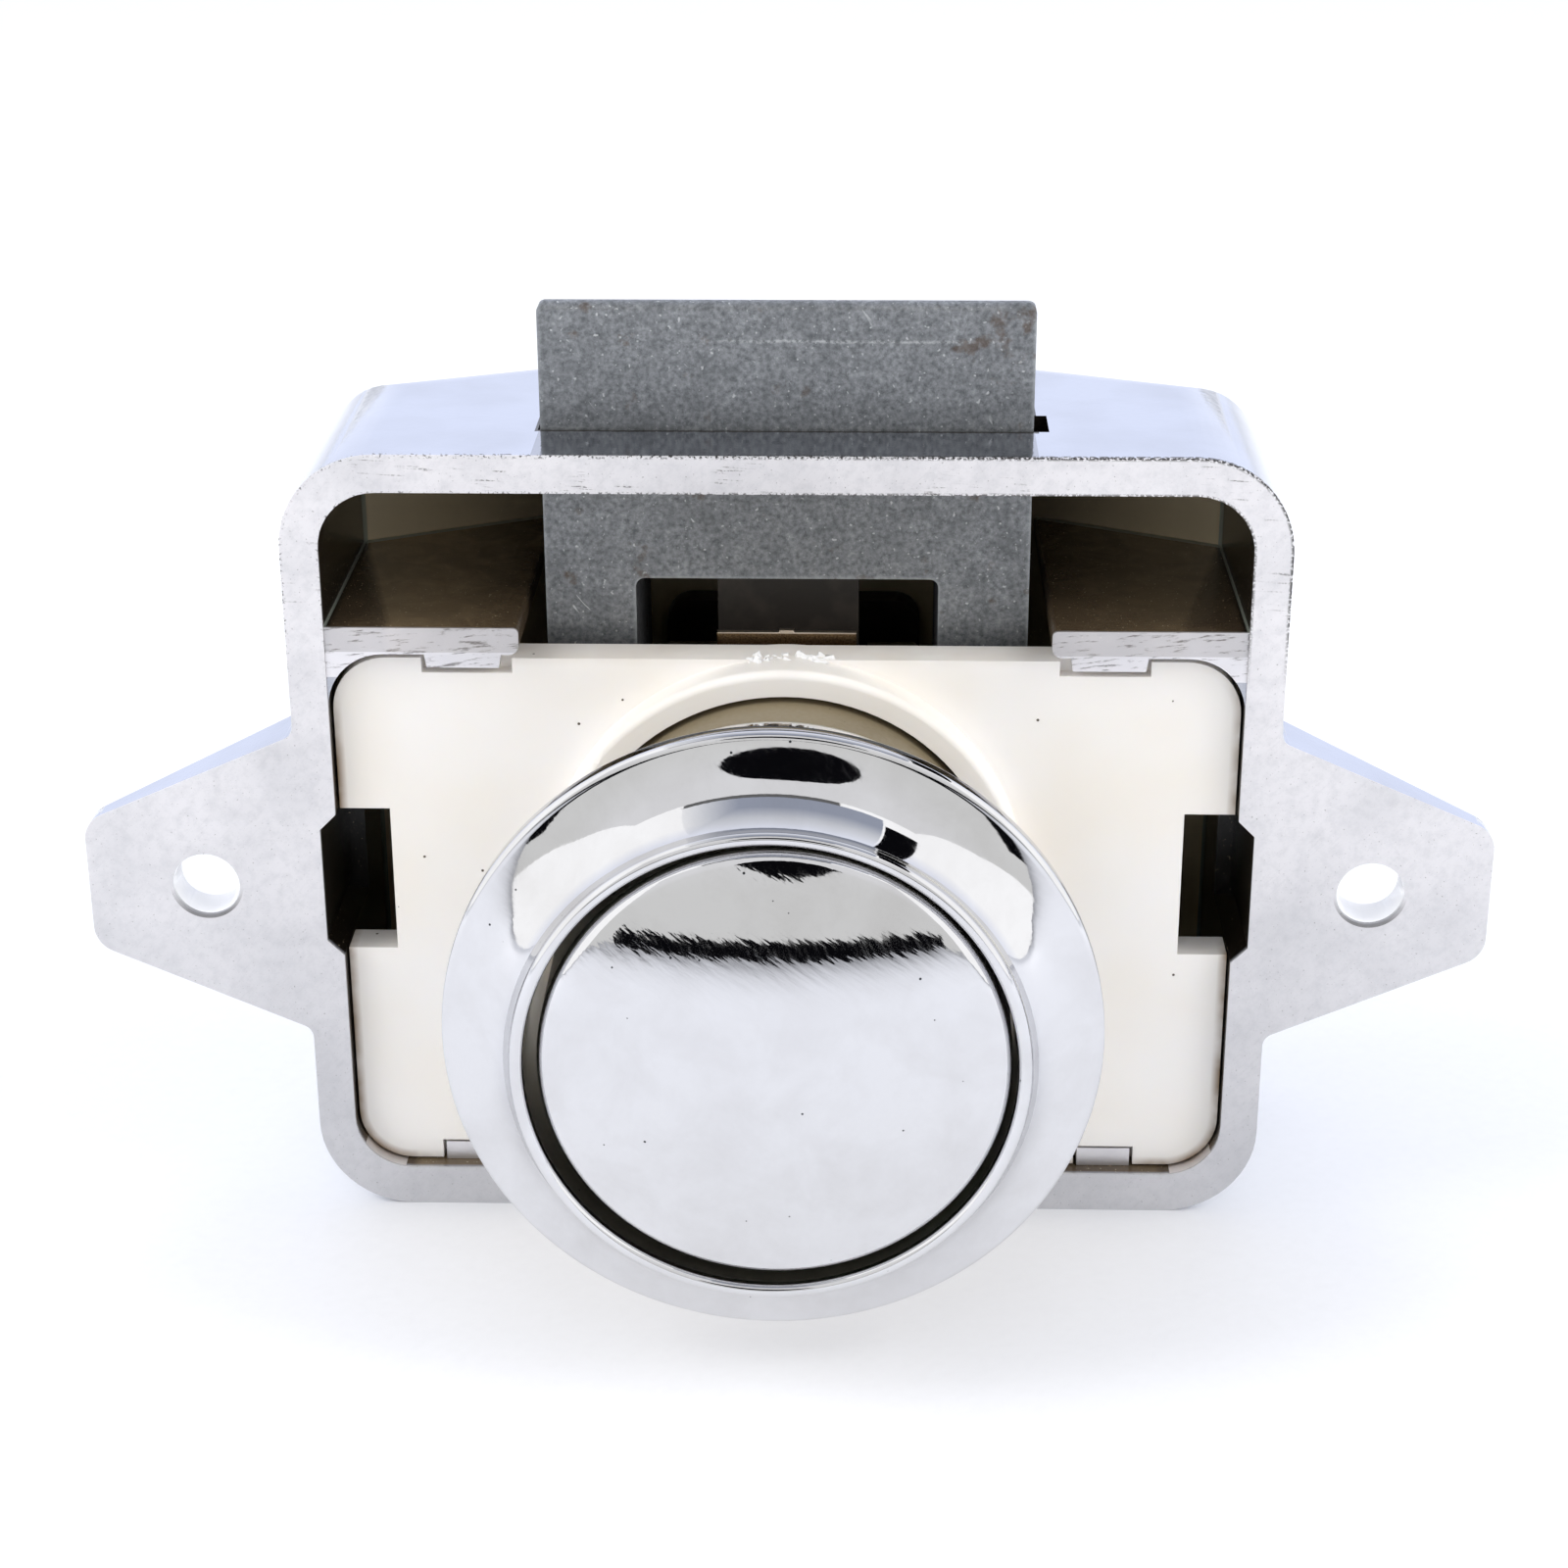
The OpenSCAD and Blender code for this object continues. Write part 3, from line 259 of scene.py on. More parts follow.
    # painted reflection: white, matt screw hole walls
    bore = combine(tree, "MULTIPLY", (holeAway, "LESS_THAN", look["holeRadius"] + 0.06), offRim)
    shelfShade = combine(
        tree, "MULTIPLY", (aside, "LESS_THAN", look["slotX"] - 0.1), (y, "LESS_THAN", look["slotY"]), offRim,
        look["shelfShadeShare"], (z, "GREATER_THAN", look["top"] - 1.0))
    colour = painted(tree, colour, (shelfShade, look["line"]), (bore, look["bore"]))
    colour = addNode(tree, "Mix", {0: recess, 6: colour, 7: bare}, data_type="RGBA")
    # Painted shade: dark lines along the gap round the bolt in its slot and under the lower lip of each screw hole
    wandering = addNode(tree, "Math", {0: grain, 1: 0.30, 2: y}, operation="MULTIPLY_ADD")
    slotWalls = combine(
        tree, "MULTIPLY", (aside, "LESS_THAN", look["slotStep"] + 0.1), (z, "LESS_THAN", look["top"] - 0.05))
    slotGapShade = combine(
        tree, "MULTIPLY", combine(tree, "MAXIMUM", (aside, "LESS_THAN", look["slotX"] + 0.12), slotWalls),
        (wandering, "GREATER_THAN", look["slotY"] - 0.12), (z, "GREATER_THAN", look["top"] - look["wall"] + 0.05),
        (y, "LESS_THAN", look["boltBack"]))
    holeLipShade = combine(
        tree, "MULTIPLY", (holeAway, "COMPARE", look["holeRadius"] + 0.08, 0.10), chipFront,
        addNode(tree, "MapRange", {0: z, 1: -1.7, 2: -0.2, 3: 0.7, 4: 0.0}))
    # the chips share their dark colour with these painted shade lines
    chips = combine(tree, "MAXIMUM", chips, slotGapShade, holeLipShade)
    colour = painted(tree, colour, (chips, look["chipAndShadeLine"]))
    rough = addNode(tree, "MapRange", {0: grain, 1: 0.3, 2: 0.7, 3: 0.05, 4: 0.12})
    roughRim = addNode(tree, "MapRange", {0: hair, 1: 0.3, 2: 0.7, 3: 0.40, 4: 0.56})
    for share, roughness in ((onRim, roughRim), (matt, 0.42), (recess, 0.27)):
        rough = addNode(tree, "Mix", {0: share, 2: rough, 3: roughness}, data_type="FLOAT")
    metal = 1.0
    for share, metallic in ((onRim, 0.5), (combine(tree, "MAXIMUM", recess, chips, bore), 0.0)):
        metal = addNode(tree, "Mix", {0: share, 2: metal, 3: metallic}, data_type="FLOAT")
    scored = addNode(tree, "Math", {0: marks, 1: -1.2, 2: grain}, operation="MULTIPLY_ADD")
    return surface(material, colour, rough, (scored, 0.3, 0.03 * mm), {"Metallic": metal})


# Moulded ABS in ivory: a soft sheen and faint flow marks, with a few dark specks and a brown darkening along its
# outline
ivoryLook = {
    "face": "#FDFAF6", "shade": "#FAF4EB", "outlineBrown": "#8A6836", "speck": "#4E4334", "speckShare": 0.025,
    "halfX": 24.5, "top": 13.1, "bottom": -17.65, "corner": 3.0,
}


def ivoryPlastic(name, look):
    material, tree, inMm = newMaterial(name)
    fine = addNode(tree, "TexNoise", {"Vector": inMm, "Scale": 1 / 0.25, "Detail": 3.0})
    cells = addNode(tree, "TexVoronoi", {"Vector": inMm, "Scale": 1 / 0.8})
    chosen = addNode(tree, "SeparateXYZ", {0: cells.outputs["Color"]}).outputs[0]
    spots = combine(
        tree, "MULTIPLY", (cells.outputs["Distance"], "LESS_THAN", 0.10), (chosen, "LESS_THAN", look["speckShare"]))
    away = outlineDistance(tree, inMm, look)
    height = addNode(tree, "SeparateXYZ", {0: inMm}).outputs[2]
    # brown darkening along the outline, weaker towards the top
    outlineDarkening = combine(
        tree, "MULTIPLY", addNode(tree, "MapRange", {0: away, 1: -0.50, 2: 0.05, 3: 0.0, 4: 1.0}),
        addNode(tree, "MapRange", {0: height, 1: 9.0, 2: 12.0, 3: 1.0, 4: 0.12}),
        blotches(tree, inMm, 2.8, 3.0, (0.35, 0.15), (0.65, 1)))
    flow = blotches(tree, inMm, 9.0, 2.0, (0.35, 0), (0.70, 1))
    colour = painted(tree, linear(look["face"]), (flow, look["shade"]), (outlineDarkening, look["outlineBrown"]), (spots, look["speck"]))
    rough = addNode(tree, "MapRange", {0: fine, 1: 0.3, 2: 0.7, 3: 0.34, 4: 0.46})
    return surface(material, colour, rough, (fine, 0.12, 0.01 * mm), {
        "IOR": 1.53, "Subsurface Weight": 0.12, "Subsurface Radius": (1.2, 1.0, 0.7), "Subsurface Scale": 0.6 * mm,
    })


# Zinc die casting, tumbled and left bare: dull blue-grey with a sparkling grain, rubbed edges and a worn line
# where it meets the striker, some brown spots and a few bright nicks
boltLook = {
    "light": "#A8ABAE", "dark": "#686B6E", "spark": "#D5D7D8", "rub": "#BFC3C6", "stain": "#5B4634",
    "grain": 0.30, "lineAt": 29.55, "lineFrom": -4.0, "lineTo": 11.0, "corner": (11.0, 5.5, 29.2),
}


def tumbledZinc(look):
    material, tree, inMm = newMaterial("tumbledZincCasting")
    x, y, z = addNode(tree, "SeparateXYZ", {0: inMm}).outputs[:3]
    grain = addNode(tree, "TexNoise", {"Vector": inMm, "Scale": 1 / look["grain"], "Detail": 6.0, "Roughness": 0.72})
    mottle = addNode(tree, "TexNoise", {"Vector": inMm, "Scale": 1 / 1.6, "Detail": 4.0, "Roughness": 0.6})
    grainShare = addNode(tree, "ValToRGB", {0: grain}, stops=((0.33, 0), (0.67, 1)))
    mottleShare = addNode(tree, "ValToRGB", {0: mottle}, stops=((0.42, 0), (0.66, 0.35)))
    nickLay = addNode(tree, "Mapping", {
        "Vector": inMm, "Rotation": (0, math.radians(55), 0), "Scale": (5, 1, 1)}, vector_type="TEXTURE")
    bright = combine(
        tree, "MAXIMUM", blotches(tree, inMm, 0.24, 1.0, (0.70, 0), (0.77, 0.8)),
        blotches(tree, nickLay, 0.30, 1.0, (0.765, 0), (0.80, 0.9), Distortion=0.6))
    # Rubbed bright along the sharp edges: the bevelled normal leaves the true one there
    rounded = addNode(tree, "Bevel", {"Radius": 0.4 * mm}, samples=4)
    facing = addNode(tree, "NewGeometry").outputs["Normal"]
    likeness = addNode(tree, "VectorMath", {0: rounded, 1: facing}, operation="DOT_PRODUCT")
    worn = addNode(tree, "MapRange", {0: likeness, 1: 0.80, 2: 0.985, 3: 0.7, 4: 0.0})
    # The worn line is broken, and only on the right of the nose
    wander = addNode(tree, "Math", {0: mottle, 1: 0.35, 2: z}, operation="MULTIPLY_ADD")
    across = apart(tree, wander, look["lineAt"] + 0.17)
    reach = apart(tree, x, (look["lineFrom"] + look["lineTo"]) / 2)
    line = combine(
        tree, "MULTIPLY", addNode(tree, "MapRange", {0: across, 1: 0.02, 2: 0.13, 3: 0.55, 4: 0.0}),
        addNode(tree, "MapRange", {0: reach, 1: 5.0, 2: 8.5, 3: 1.0, 4: 0.0}),
        addNode(tree, "ValToRGB", {0: grain}, stops=((0.45, 0.1), (0.56, 1))))
    stains = addNode(tree, "TexNoise", {"Vector": inMm, "Scale": 1 / 1.7, "Detail": 4.0, "Roughness": 0.6})
    corner = addNode(tree, "VectorMath", {0: inMm, 1: look["corner"]}, operation="DISTANCE")
    cornerLift = addNode(tree, "MapRange", {0: corner, 1: 1.0, 2: 5.0, 3: 0.12, 4: 0.0})
    stains = addNode(tree, "Math", {0: stains, 1: cornerLift}, operation="ADD")
    stains = addNode(tree, "ValToRGB", {0: stains}, stops=((0.64, 0), (0.72, 0.6)))
    colour = painted(
        tree, linear(look["dark"]), (grainShare, look["light"]), (mottleShare, look["dark"]), (bright, look["spark"]),
        (worn, look["rub"]), (line, look["spark"]), (stains, look["stain"]))
    rough = addNode(tree, "MapRange", {0: mottle, 1: 0.3, 2: 0.7, 3: 0.44, 4: 0.60})
    height = addNode(tree, "Math", {0: mottle, 1: 0.5, 2: grain}, operation="MULTIPLY_ADD")
    return surface(material, colour, rough, (height, 0.6, 0.04 * mm), {"Metallic": 0.75})


# Copper, nickel and chrome on polished metal: a mirror, slightly uneven, with fine slanting wiping strokes that
# fray whatever it mirrors, and a few pin holes
chromeLook = {
    "metal": "#D4D4D6", "smear": "#C6C5C6", "bare": "#DEDCD4", "pit": "#45464A", "wave": 3.5, "stroke": 0.34,
    "hair": 0.16, "pitShare": 0.08, "gapAt": 12.05, "gapHalf": 0.50,
}


def polishedChrome(name, look, brushing, ripple, hidden):
    material, tree, inMm = newMaterial(name)
    wave = addNode(tree, "TexNoise", {"Vector": inMm, "Scale": 1 / look["wave"], "Detail": 1.5})
    strokes, hair = (
        addNode(tree, "TexNoise", {"Vector": addNode(tree, "Mapping", {
            "Vector": inMm, "Rotation": (0, math.radians(turn), 0), "Scale": (long, 1, 1)}, vector_type="TEXTURE"),
            "Scale": 1 / look[size], "Detail": 2.0})
        for turn, long, size in ((36, 7, "stroke"), (62, 30, "hair")))
    cells = addNode(tree, "TexVoronoi", {"Vector": inMm, "Scale": 1 / 0.7})
    chosen = addNode(tree, "SeparateXYZ", {0: cells.outputs["Color"]}).outputs[0]
    holes = combine(
        tree, "MULTIPLY", (cells.outputs["Distance"], "LESS_THAN", 0.10), (chosen, "LESS_THAN", look["pitShare"]))
    # Finger smears dull it in patches; where it was never polished, in the gap round the knob, it is grey and matt
    smears = blotches(tree, inMm, 3.6, 5.0, (0.40, 0), (0.72, 0.6), Roughness=0.6, Distortion=0.3)
    x, y, z = addNode(tree, "SeparateXYZ", {0: inMm}).outputs[:3]
    fromAxis = addNode(tree, "VectorMath", {0: addNode(tree, "CombineXYZ", {0: x, 1: z})}, operation="LENGTH")
    inGap = combine(
        tree, "MULTIPLY", (fromAxis, "COMPARE", look["gapAt"], look["gapHalf"]), (y, "GREATER_THAN", hidden))
    colour = painted(
        tree, linear(look["metal"]), (smears, look["smear"]), (inGap, look["bare"]), (holes, look["pit"]))
    polish = addNode(tree, "MapRange", {0: hair, 1: 0.45, 2: 0.75, 3: 0.02, 4: 0.07})
    polish = addNode(tree, "Math", {0: smears, 1: 0.05, 2: polish}, operation="MULTIPLY_ADD")
    rough = addNode(tree, "Mix", {0: inGap, 2: polish, 3: 0.28}, data_type="FLOAT")
    uneven = addNode(tree, "Bump", {"Height": wave, "Strength": ripple, "Distance": 0.12 * mm})
    lines = addNode(tree, "Math", {0: hair, 1: 0.15, 2: strokes}, operation="MULTIPLY_ADD")
    return surface(material, colour, rough, (lines, brushing, 0.012 * mm, uneven), {"Metallic": 1.0})


# Drawn, ground or rolled metal: fine lines round or along it, a little tarnish, and cut edges that are bright
steelLooks = {
    "drawnSpringWire": {"shade": "#8C8E90", "light": "#C4C6C8", "line": 0.08, "rough": 0.24},
    "bluedSpringStrip": {
        "shade": "#5A4733", "light": "#937B5C", "line": 0.10, "rough": 0.30, "cutAbove": 13.47, "cut": "#E9DCCB",
    },
    "groundSteelPin": {"shade": "#A4A6A8", "light": "#D2D4D6", "line": 0.05, "rough": 0.16},
    "zincPlatedScrew": {"shade": "#9EA0A4", "light": "#CDCFD4", "line": 0.10, "rough": 0.22},
    "aluminiumRivet": {"shade": "#B4B6B8", "light": "#DCDDDE", "line": 0.12, "rough": 0.30},
}


def workedMetal(name, look):
    material, tree, inMm = newMaterial(name)
    lay = addNode(tree, "Mapping", {"Vector": inMm, "Scale": (1, 5, 1)}, vector_type="TEXTURE")
    lines = addNode(tree, "TexNoise", {"Vector": lay, "Scale": 1 / look["line"], "Detail": 3.0})
    tarnish = addNode(tree, "TexNoise", {"Vector": inMm, "Scale": 1 / (look["line"] * 9), "Detail": 3.0})
    bright = addNode(tree, "ValToRGB", {0: lines}, stops=((0.30, 0), (0.70, 1)))
    dull = addNode(tree, "ValToRGB", {0: tarnish}, stops=((0.60, 0), (0.80, 0.4)))
    colour = painted(tree, linear(look["shade"]), (bright, look["light"]), (dull, look["shade"]))
    if "cutAbove" in look:
        height = addNode(tree, "SeparateXYZ", {0: inMm}).outputs[2]
        cutShare = addNode(tree, "MapRange", {
            0: height, 1: look["cutAbove"], 2: look["cutAbove"] + 0.05, 3: 0.0, 4: 0.9})
        colour = painted(tree, colour, (cutShare, look["cut"]))
    rough = addNode(tree, "MapRange", {0: tarnish, 1: 0.3, 2: 0.8, 3: look["rough"], 4: look["rough"] + 0.14})
    return surface(material, colour, rough, (lines, 0.3, 0.01 * mm), {"Metallic": 1.0})


# Moulded acetal in brown-black: waxy, with a fine spark-eroded grain and a film of dust
acetalLook = {"body": "#35302B", "dust": "#524A42", "grain": 0.12}


def darkAcetal(look):
    material, tree, inMm = newMaterial("darkAcetalMoulding")
    grain = addNode(tree, "TexNoise", {"Vector": inMm, "Scale": 1 / look["grain"], "Detail": 3.0})
    film = blotches(tree, inMm, 1.6, 4.0, (0.45, 0), (0.75, 0.6))
    colour = painted(tree, linear(look["body"]), (film, look["dust"]))
    rough = addNode(tree, "MapRange", {0: grain, 1: 0.3, 2: 0.7, 3: 0.40, 4: 0.55})
    return surface(material, colour, rough, (grain, 0.3, 0.02 * mm), {"IOR": 1.48})


# White card under the lock: plain, very slightly fibrous, with painted shade greying it towards its front edge
cardLook = {
    "light": "#FAFBFE", "fibre": "#F4F5F8", "edgeAt": -520.0, "evenFrom": -110.0, "edgeShade": 0.40, "rough": 0.75,
}


def whiteCard(look):
    material, tree, inMm = newMaterial("whiteCard")
    fibre = addNode(tree, "TexNoise", {"Vector": inMm, "Scale": 1 / 0.6, "Detail": 4.0})
    colour = painted(tree, linear(look["fibre"]), (fibre, look["light"]))
    ahead = addNode(tree, "SeparateXYZ", {0: inMm}).outputs[1]
    shade = addNode(tree, "MapRange", {
        0: ahead, 1: look["edgeAt"], 2: look["evenFrom"], 3: look["edgeShade"], 4: 1.0,
    }, interpolation_type="SMOOTHSTEP")
    colour = addNode(tree, "Mix", {0: 1.0, 6: colour, 7: shade}, data_type="RGBA", blend_type="MULTIPLY")
    return surface(material, colour, look["rough"], (fibre, 0.05, 0.05 * mm))


plated = platedZinc(platedLook)
ivoryAbs = ivoryPlastic("ivoryAbsMoulding", ivoryLook)
flashLook = {"face": "#FFFFFF", "shade": "#F8F6F0", "speckShare": 0.0, "top": 99.0}
# The plunger is ivory, painted a dark tan as painted shade where it lies under the rosette
plungerShadeLook = {"face": "#8A7E66", "shade": "#7C7058", "top": 99.0, "halfX": 99.0}
ivoryFlash = ivoryPlastic("ivoryMouldingFlash", {**ivoryLook, **flashLook})
plungerPaintedShade = ivoryPlastic("ivoryPlungerPaintedShade", {**ivoryLook, **plungerShadeLook})
bareZinc = tumbledZinc(boltLook)
# brushing, ripple, and the depth behind which the gap round the knob was never polished
knobChrome = polishedChrome("chromePlatedKnob", chromeLook, 0.38, 0.05, -20.2)
rosetteChrome = polishedChrome("chromePlatedRosette", chromeLook, 0.10, 0.04, -20.45)
springWire, springStrip, groundPin, platedScrew, rivetAlloy = (
    workedMetal(name, look) for name, look in steelLooks.items())
acetal = darkAcetal(acetalLook)


def dress(piece, material):
    piece.data.materials.clear()
    piece.data.materials.append(material)


print("carried-over nodes")
for nodeName, material in {
    "knob_screw": platedScrew, "knob_washer": platedScrew, "cradle_screw_upper": platedScrew,
    "cradle_screw_lower": platedScrew, "cam_pin_left": groundPin, "cam_pin_right": groundPin,
    "guide_pin_left": groundPin, "guide_pin_right": groundPin, "leaf_rivet_left": rivetAlloy,
    "leaf_rivet_right": rivetAlloy, "housing": plated, "cover_plate": ivoryAbs, "plunger": plungerPaintedShade,
    "latch_bolt": bareZinc, "cradle": acetal, "rosette": rosetteChrome, "knob_cap": knobChrome,
    "return_spring": springWire, "bolt_spring_left": springWire, "bolt_spring_right": springWire,
    "follower_wire": springWire, "leaf_spring": springStrip,
}.items():
    dress(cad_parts[nodeName], material)


def seat(piece, body, slotName, *nodes):
    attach(piece, body)
    if nodes:
        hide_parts(*nodes)


def startPoint(name, at):
    # A single vertex to extrude from: a small plane merged to its centre
    bpy.ops.mesh.primitive_plane_add(size=1 * mm)
    piece = bpy.context.active_object
    piece.name = piece.data.name = name
    bpy.ops.object.mode_set(mode="EDIT")
    bpy.ops.mesh.select_all(action="SELECT")
    bpy.ops.mesh.merge(type="CENTER")
    bpy.ops.transform.translate(value=[c * mm for c in at])
    return piece


def closeUp(piece, material, smooth):
    # Normals outwards, shaded smooth across edges of less than an angle in degrees
    bpy.ops.object.mode_set(mode="EDIT")
    bpy.ops.mesh.select_all(action="SELECT")
    bpy.ops.mesh.normals_make_consistent(inside=False)
    bpy.ops.object.mode_set(mode="OBJECT")
    bpy.ops.object.shade_smooth_by_angle(angle=math.radians(smooth))
    dress(piece, material)
    return piece


def revolve(name, profile, steps, material):
    # profile: closed list of (radius, y) in mm; drawn by extruding a vertex, then spun about Y
    last = Vector((*profile[0], 0))
    piece = startPoint(name, last)
    for radius, along in profile[1:] + profile[:1]:
        point = Vector((radius, along, 0))
        bpy.ops.mesh.extrude_region_move(TRANSFORM_OT_translate={"value": (point - last) * mm})
        last = point
    bpy.ops.mesh.select_all(action="SELECT")
    bpy.ops.mesh.remove_doubles(threshold=0.001 * mm)
    bpy.ops.mesh.spin(steps=steps, angle=math.tau, center=(0, 0, 0), axis=(0, 1, 0))
    bpy.ops.mesh.select_all(action="SELECT")
    bpy.ops.mesh.remove_doubles(threshold=0.001 * mm)
    return closeUp(piece, material, smooth=32)


def arcOf(centre, radius, fromAngle, toAngle, count):
    # Points on an arc; the angle is measured from the +radius direction towards +Y
    return [
        (centre[0] + radius * math.cos(math.radians(a)), centre[1] + radius * math.sin(math.radians(a)))
        for a in [fromAngle + (toAngle - fromAngle) * i / count for i in range(count + 1)]
    ]


print("knob")
knob = {
    "radius": 11.66, "rim": 21.0, "length": 8.6, "wall": 0.7, "face": 1.4, "edge": 0.85, "dome": 1.9,
    "boss": 3.0, "bossEnd": -10.3, "bore": 1.25, "boreEnd": -18.9, "trim": 0.12, "steps": 160,
}


def makeKnobCup(size):
    edgeX = size["radius"] - size["edge"]
    domeR = ((size["dome"] + size["edge"]) ** 2 + edgeX ** 2 - size["edge"] ** 2) / (2 * size["dome"])
    centreY = -size["rim"] - size["dome"] + domeR
    domeEnd = math.degrees(math.asin(edgeX / (domeR - size["edge"])))
    mouth = -size["rim"] + size["length"]
    innerR = domeR - size["face"]
    cupIn = size["radius"] - size["wall"]
    innerEnd = math.degrees(math.asin(cupIn / innerR))
    bossAt = math.degrees(math.asin(size["boss"] / innerR))
    profile = arcOf((0, centreY), domeR, -90, -90 + domeEnd, 22)
    profile += arcOf((edgeX, -size["rim"] + size["edge"]), size["edge"], -90 + domeEnd, 0, 10)[1:]
    trim = size["trim"]
    profile += [(size["radius"], mouth - trim), (size["radius"] - trim, mouth)]
    profile += [(cupIn + trim, mouth), (cupIn, mouth - trim)]
    profile += arcOf((0, centreY), innerR, -90 + innerEnd, -90 + bossAt, 10)
    profile += [(size["boss"], size["bossEnd"]), (size["bore"], size["bossEnd"])]
    profile += [(size["bore"], size["boreEnd"]), (0, size["boreEnd"])]
    return revolve("knobCup", profile, size["steps"], knobChrome)


seat(makeKnobCup(knob), "button", "chrome_plate", "knob_cap")

print("rosette")
rosette = {
    "radius": 16.5, "flangeBack": -16.3, "flange": 1.2, "edge": 0.35, "backEdge": 0.3, "root": 0.25,
    "sleeveIn": 12.1, "sleeveOut": 12.8, "sleeveEnd": -6.0, "taper": (0.3, 0.95), "bead": 0.33, "lip": -21.0,
    "land": 0.24, "foot": 16, "knee": 29, "throat": 80, "share": 0.5, "sag": (-0.2, -0.15), "steps": 192,
}


def makeRosetteShell(size):
    front = size["flangeBack"] - size["flange"]
    lip = size["sleeveIn"] + 2 * size["bead"]
    rim = size["radius"] - size["edge"]
    foot, knee, throat = (math.radians(size[k]) for k in ("foot", "knee", "throat"))
    # The hollow sweep is two arcs that meet at the knee, drawn from rim to lip and scaled to its height
    sweepR = size["share"] * (rim - lip) / (math.sin(knee) - math.sin(foot))
    throatR = (1 - size["share"]) * (rim - lip) / (math.sin(throat) - math.sin(knee))
    rise = sweepR * (math.cos(foot) - math.cos(knee)) + throatR * (math.cos(knee) - math.cos(throat))
    tall = front - size["lip"] - size["bead"] - size["land"]
    sweep = []
    for i in range(17):
        slope = foot + (knee - foot) * i / 16
        sweep.append((rim - sweepR * (math.sin(slope) - math.sin(foot)), sweepR * (math.cos(foot) - math.cos(slope))))
    for i in range(1, 25):
        slope = knee + (throat - knee) * i / 24
        up = rise - throatR * (math.cos(slope) - math.cos(throat))
        sweep.append((lip + throatR * (math.sin(throat) - math.sin(slope)), up))
    bead = (size["sleeveIn"] + size["bead"], size["lip"] + size["bead"])
    profile = arcOf(bead, size["bead"], -180, 0, 14)
    profile += [(radius, front - up * tall / rise) for radius, up in reversed(sweep)]
    profile += arcOf((rim, front + size["edge"]), size["edge"], -76, 0, 5)
    back, turned, out, end = (size[k] for k in ("flangeBack", "backEdge", "sleeveOut", "sleeveEnd"))
    profile += arcOf((size["radius"] - turned, back - turned), turned, 0, 90, 5)
    profile += [(out + size["root"], back), (out, back + size["root"]), (out, end - size["taper"][1])]
    profile += [(out - size["taper"][0], end), (size["sleeveIn"], end)]
    shell = revolve("rosetteShell", profile, size["steps"], rosetteChrome)
    bpy.ops.object.mode_set(mode="EDIT")
    bpy.ops.mesh.select_all(action="SELECT")
    aside, down = size["sag"]
    # It hangs a little low and to the left, as in the photo
    bpy.ops.transform.translate(value=(aside * mm, 0, down * mm))
    bpy.ops.object.mode_set(mode="OBJECT")
    return shell


seat(makeRosetteShell(rosette), "rosette", "chrome_plate", "rosette")

print("castings and mouldings")
castings = {
    "housingCasting": {"node": "housing", "edge": 0.12, "body": "case", "slot": "plated_zinc", "finish": plated},
    "coverMoulding": {"node": "cover_plate", "edge": 0.15, "body": "case", "slot": "ivory_abs", "finish": ivoryAbs},
    "boltCasting": {"node": "latch_bolt", "edge": 0.16, "body": "bolt", "slot": "tumbled_zinc", "finish": bareZinc},
    "plungerMoulding": {"node": "plunger", "edge": 0.12, "body": "button", "slot": "ivory_abs", "finish": plungerPaintedShade},
    "cradleMoulding": {"node": "cradle", "edge": 0.12, "body": "case", "slot": "dark_acetal", "finish": acetal},
}
edgeWork = {"merge": 0.002, "flatUpTo": 0.4, "bevelFrom": 32, "smoothTo": 38}  # mm, then degrees


def makeCasting(name, size):
    # A merged copy of the CAD solid, with small rounded edges that catch the light
    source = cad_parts[size["node"]]
    piece = source.copy()
    piece.data = source.data.copy()
    piece.name = piece.data.name = name
    for key in list(piece.keys()):
        del piece[key]
    piece.parent = None
    scene.collection.objects.link(piece)
    bpy.ops.object.select_all(action="DESELECT")
    piece.select_set(True)
    bpy.context.view_layer.objects.active = piece
    bpy.ops.mesh.customdata_custom_splitnormals_clear()
    bpy.ops.object.mode_set(mode="EDIT")
    bpy.ops.mesh.select_all(action="SELECT")
    bpy.ops.mesh.remove_doubles(threshold=edgeWork["merge"] * mm)
    bpy.ops.mesh.dissolve_limited(angle_limit=math.radians(edgeWork["flatUpTo"]))
    bpy.ops.object.mode_set(mode="OBJECT")
    bevel = piece.modifiers.new("edges", "BEVEL")
    bevel.width = size["edge"] * mm
    bevel.segments = 2
    bevel.limit_method = "ANGLE"
    bevel.angle_limit = math.radians(edgeWork["bevelFrom"])
    bpy.ops.object.modifier_apply(modifier="edges")
    bpy.ops.object.shade_smooth_by_angle(angle=math.radians(edgeWork["smoothTo"]))
    # the flats mirror straight, and only the edges turn the light
    evened = piece.modifiers.new("flats", "WEIGHTED_NORMAL")
    evened.weight = 100
    evened.keep_sharp = True
    bpy.ops.object.modifier_apply(modifier="flats")
    dress(piece, size["finish"])
    return piece


for name, size in castings.items():
    seat(makeCasting(name, size), size["body"], size["slot"], size["node"])

print("gate vestige on the plate's top edge")
vestige = {"at": (0.2, 1.2, 12.9), "block": (4.2, 0.9, 0.25), "ragged": 1.5, "crumb": 0.34, "cuts": 24}


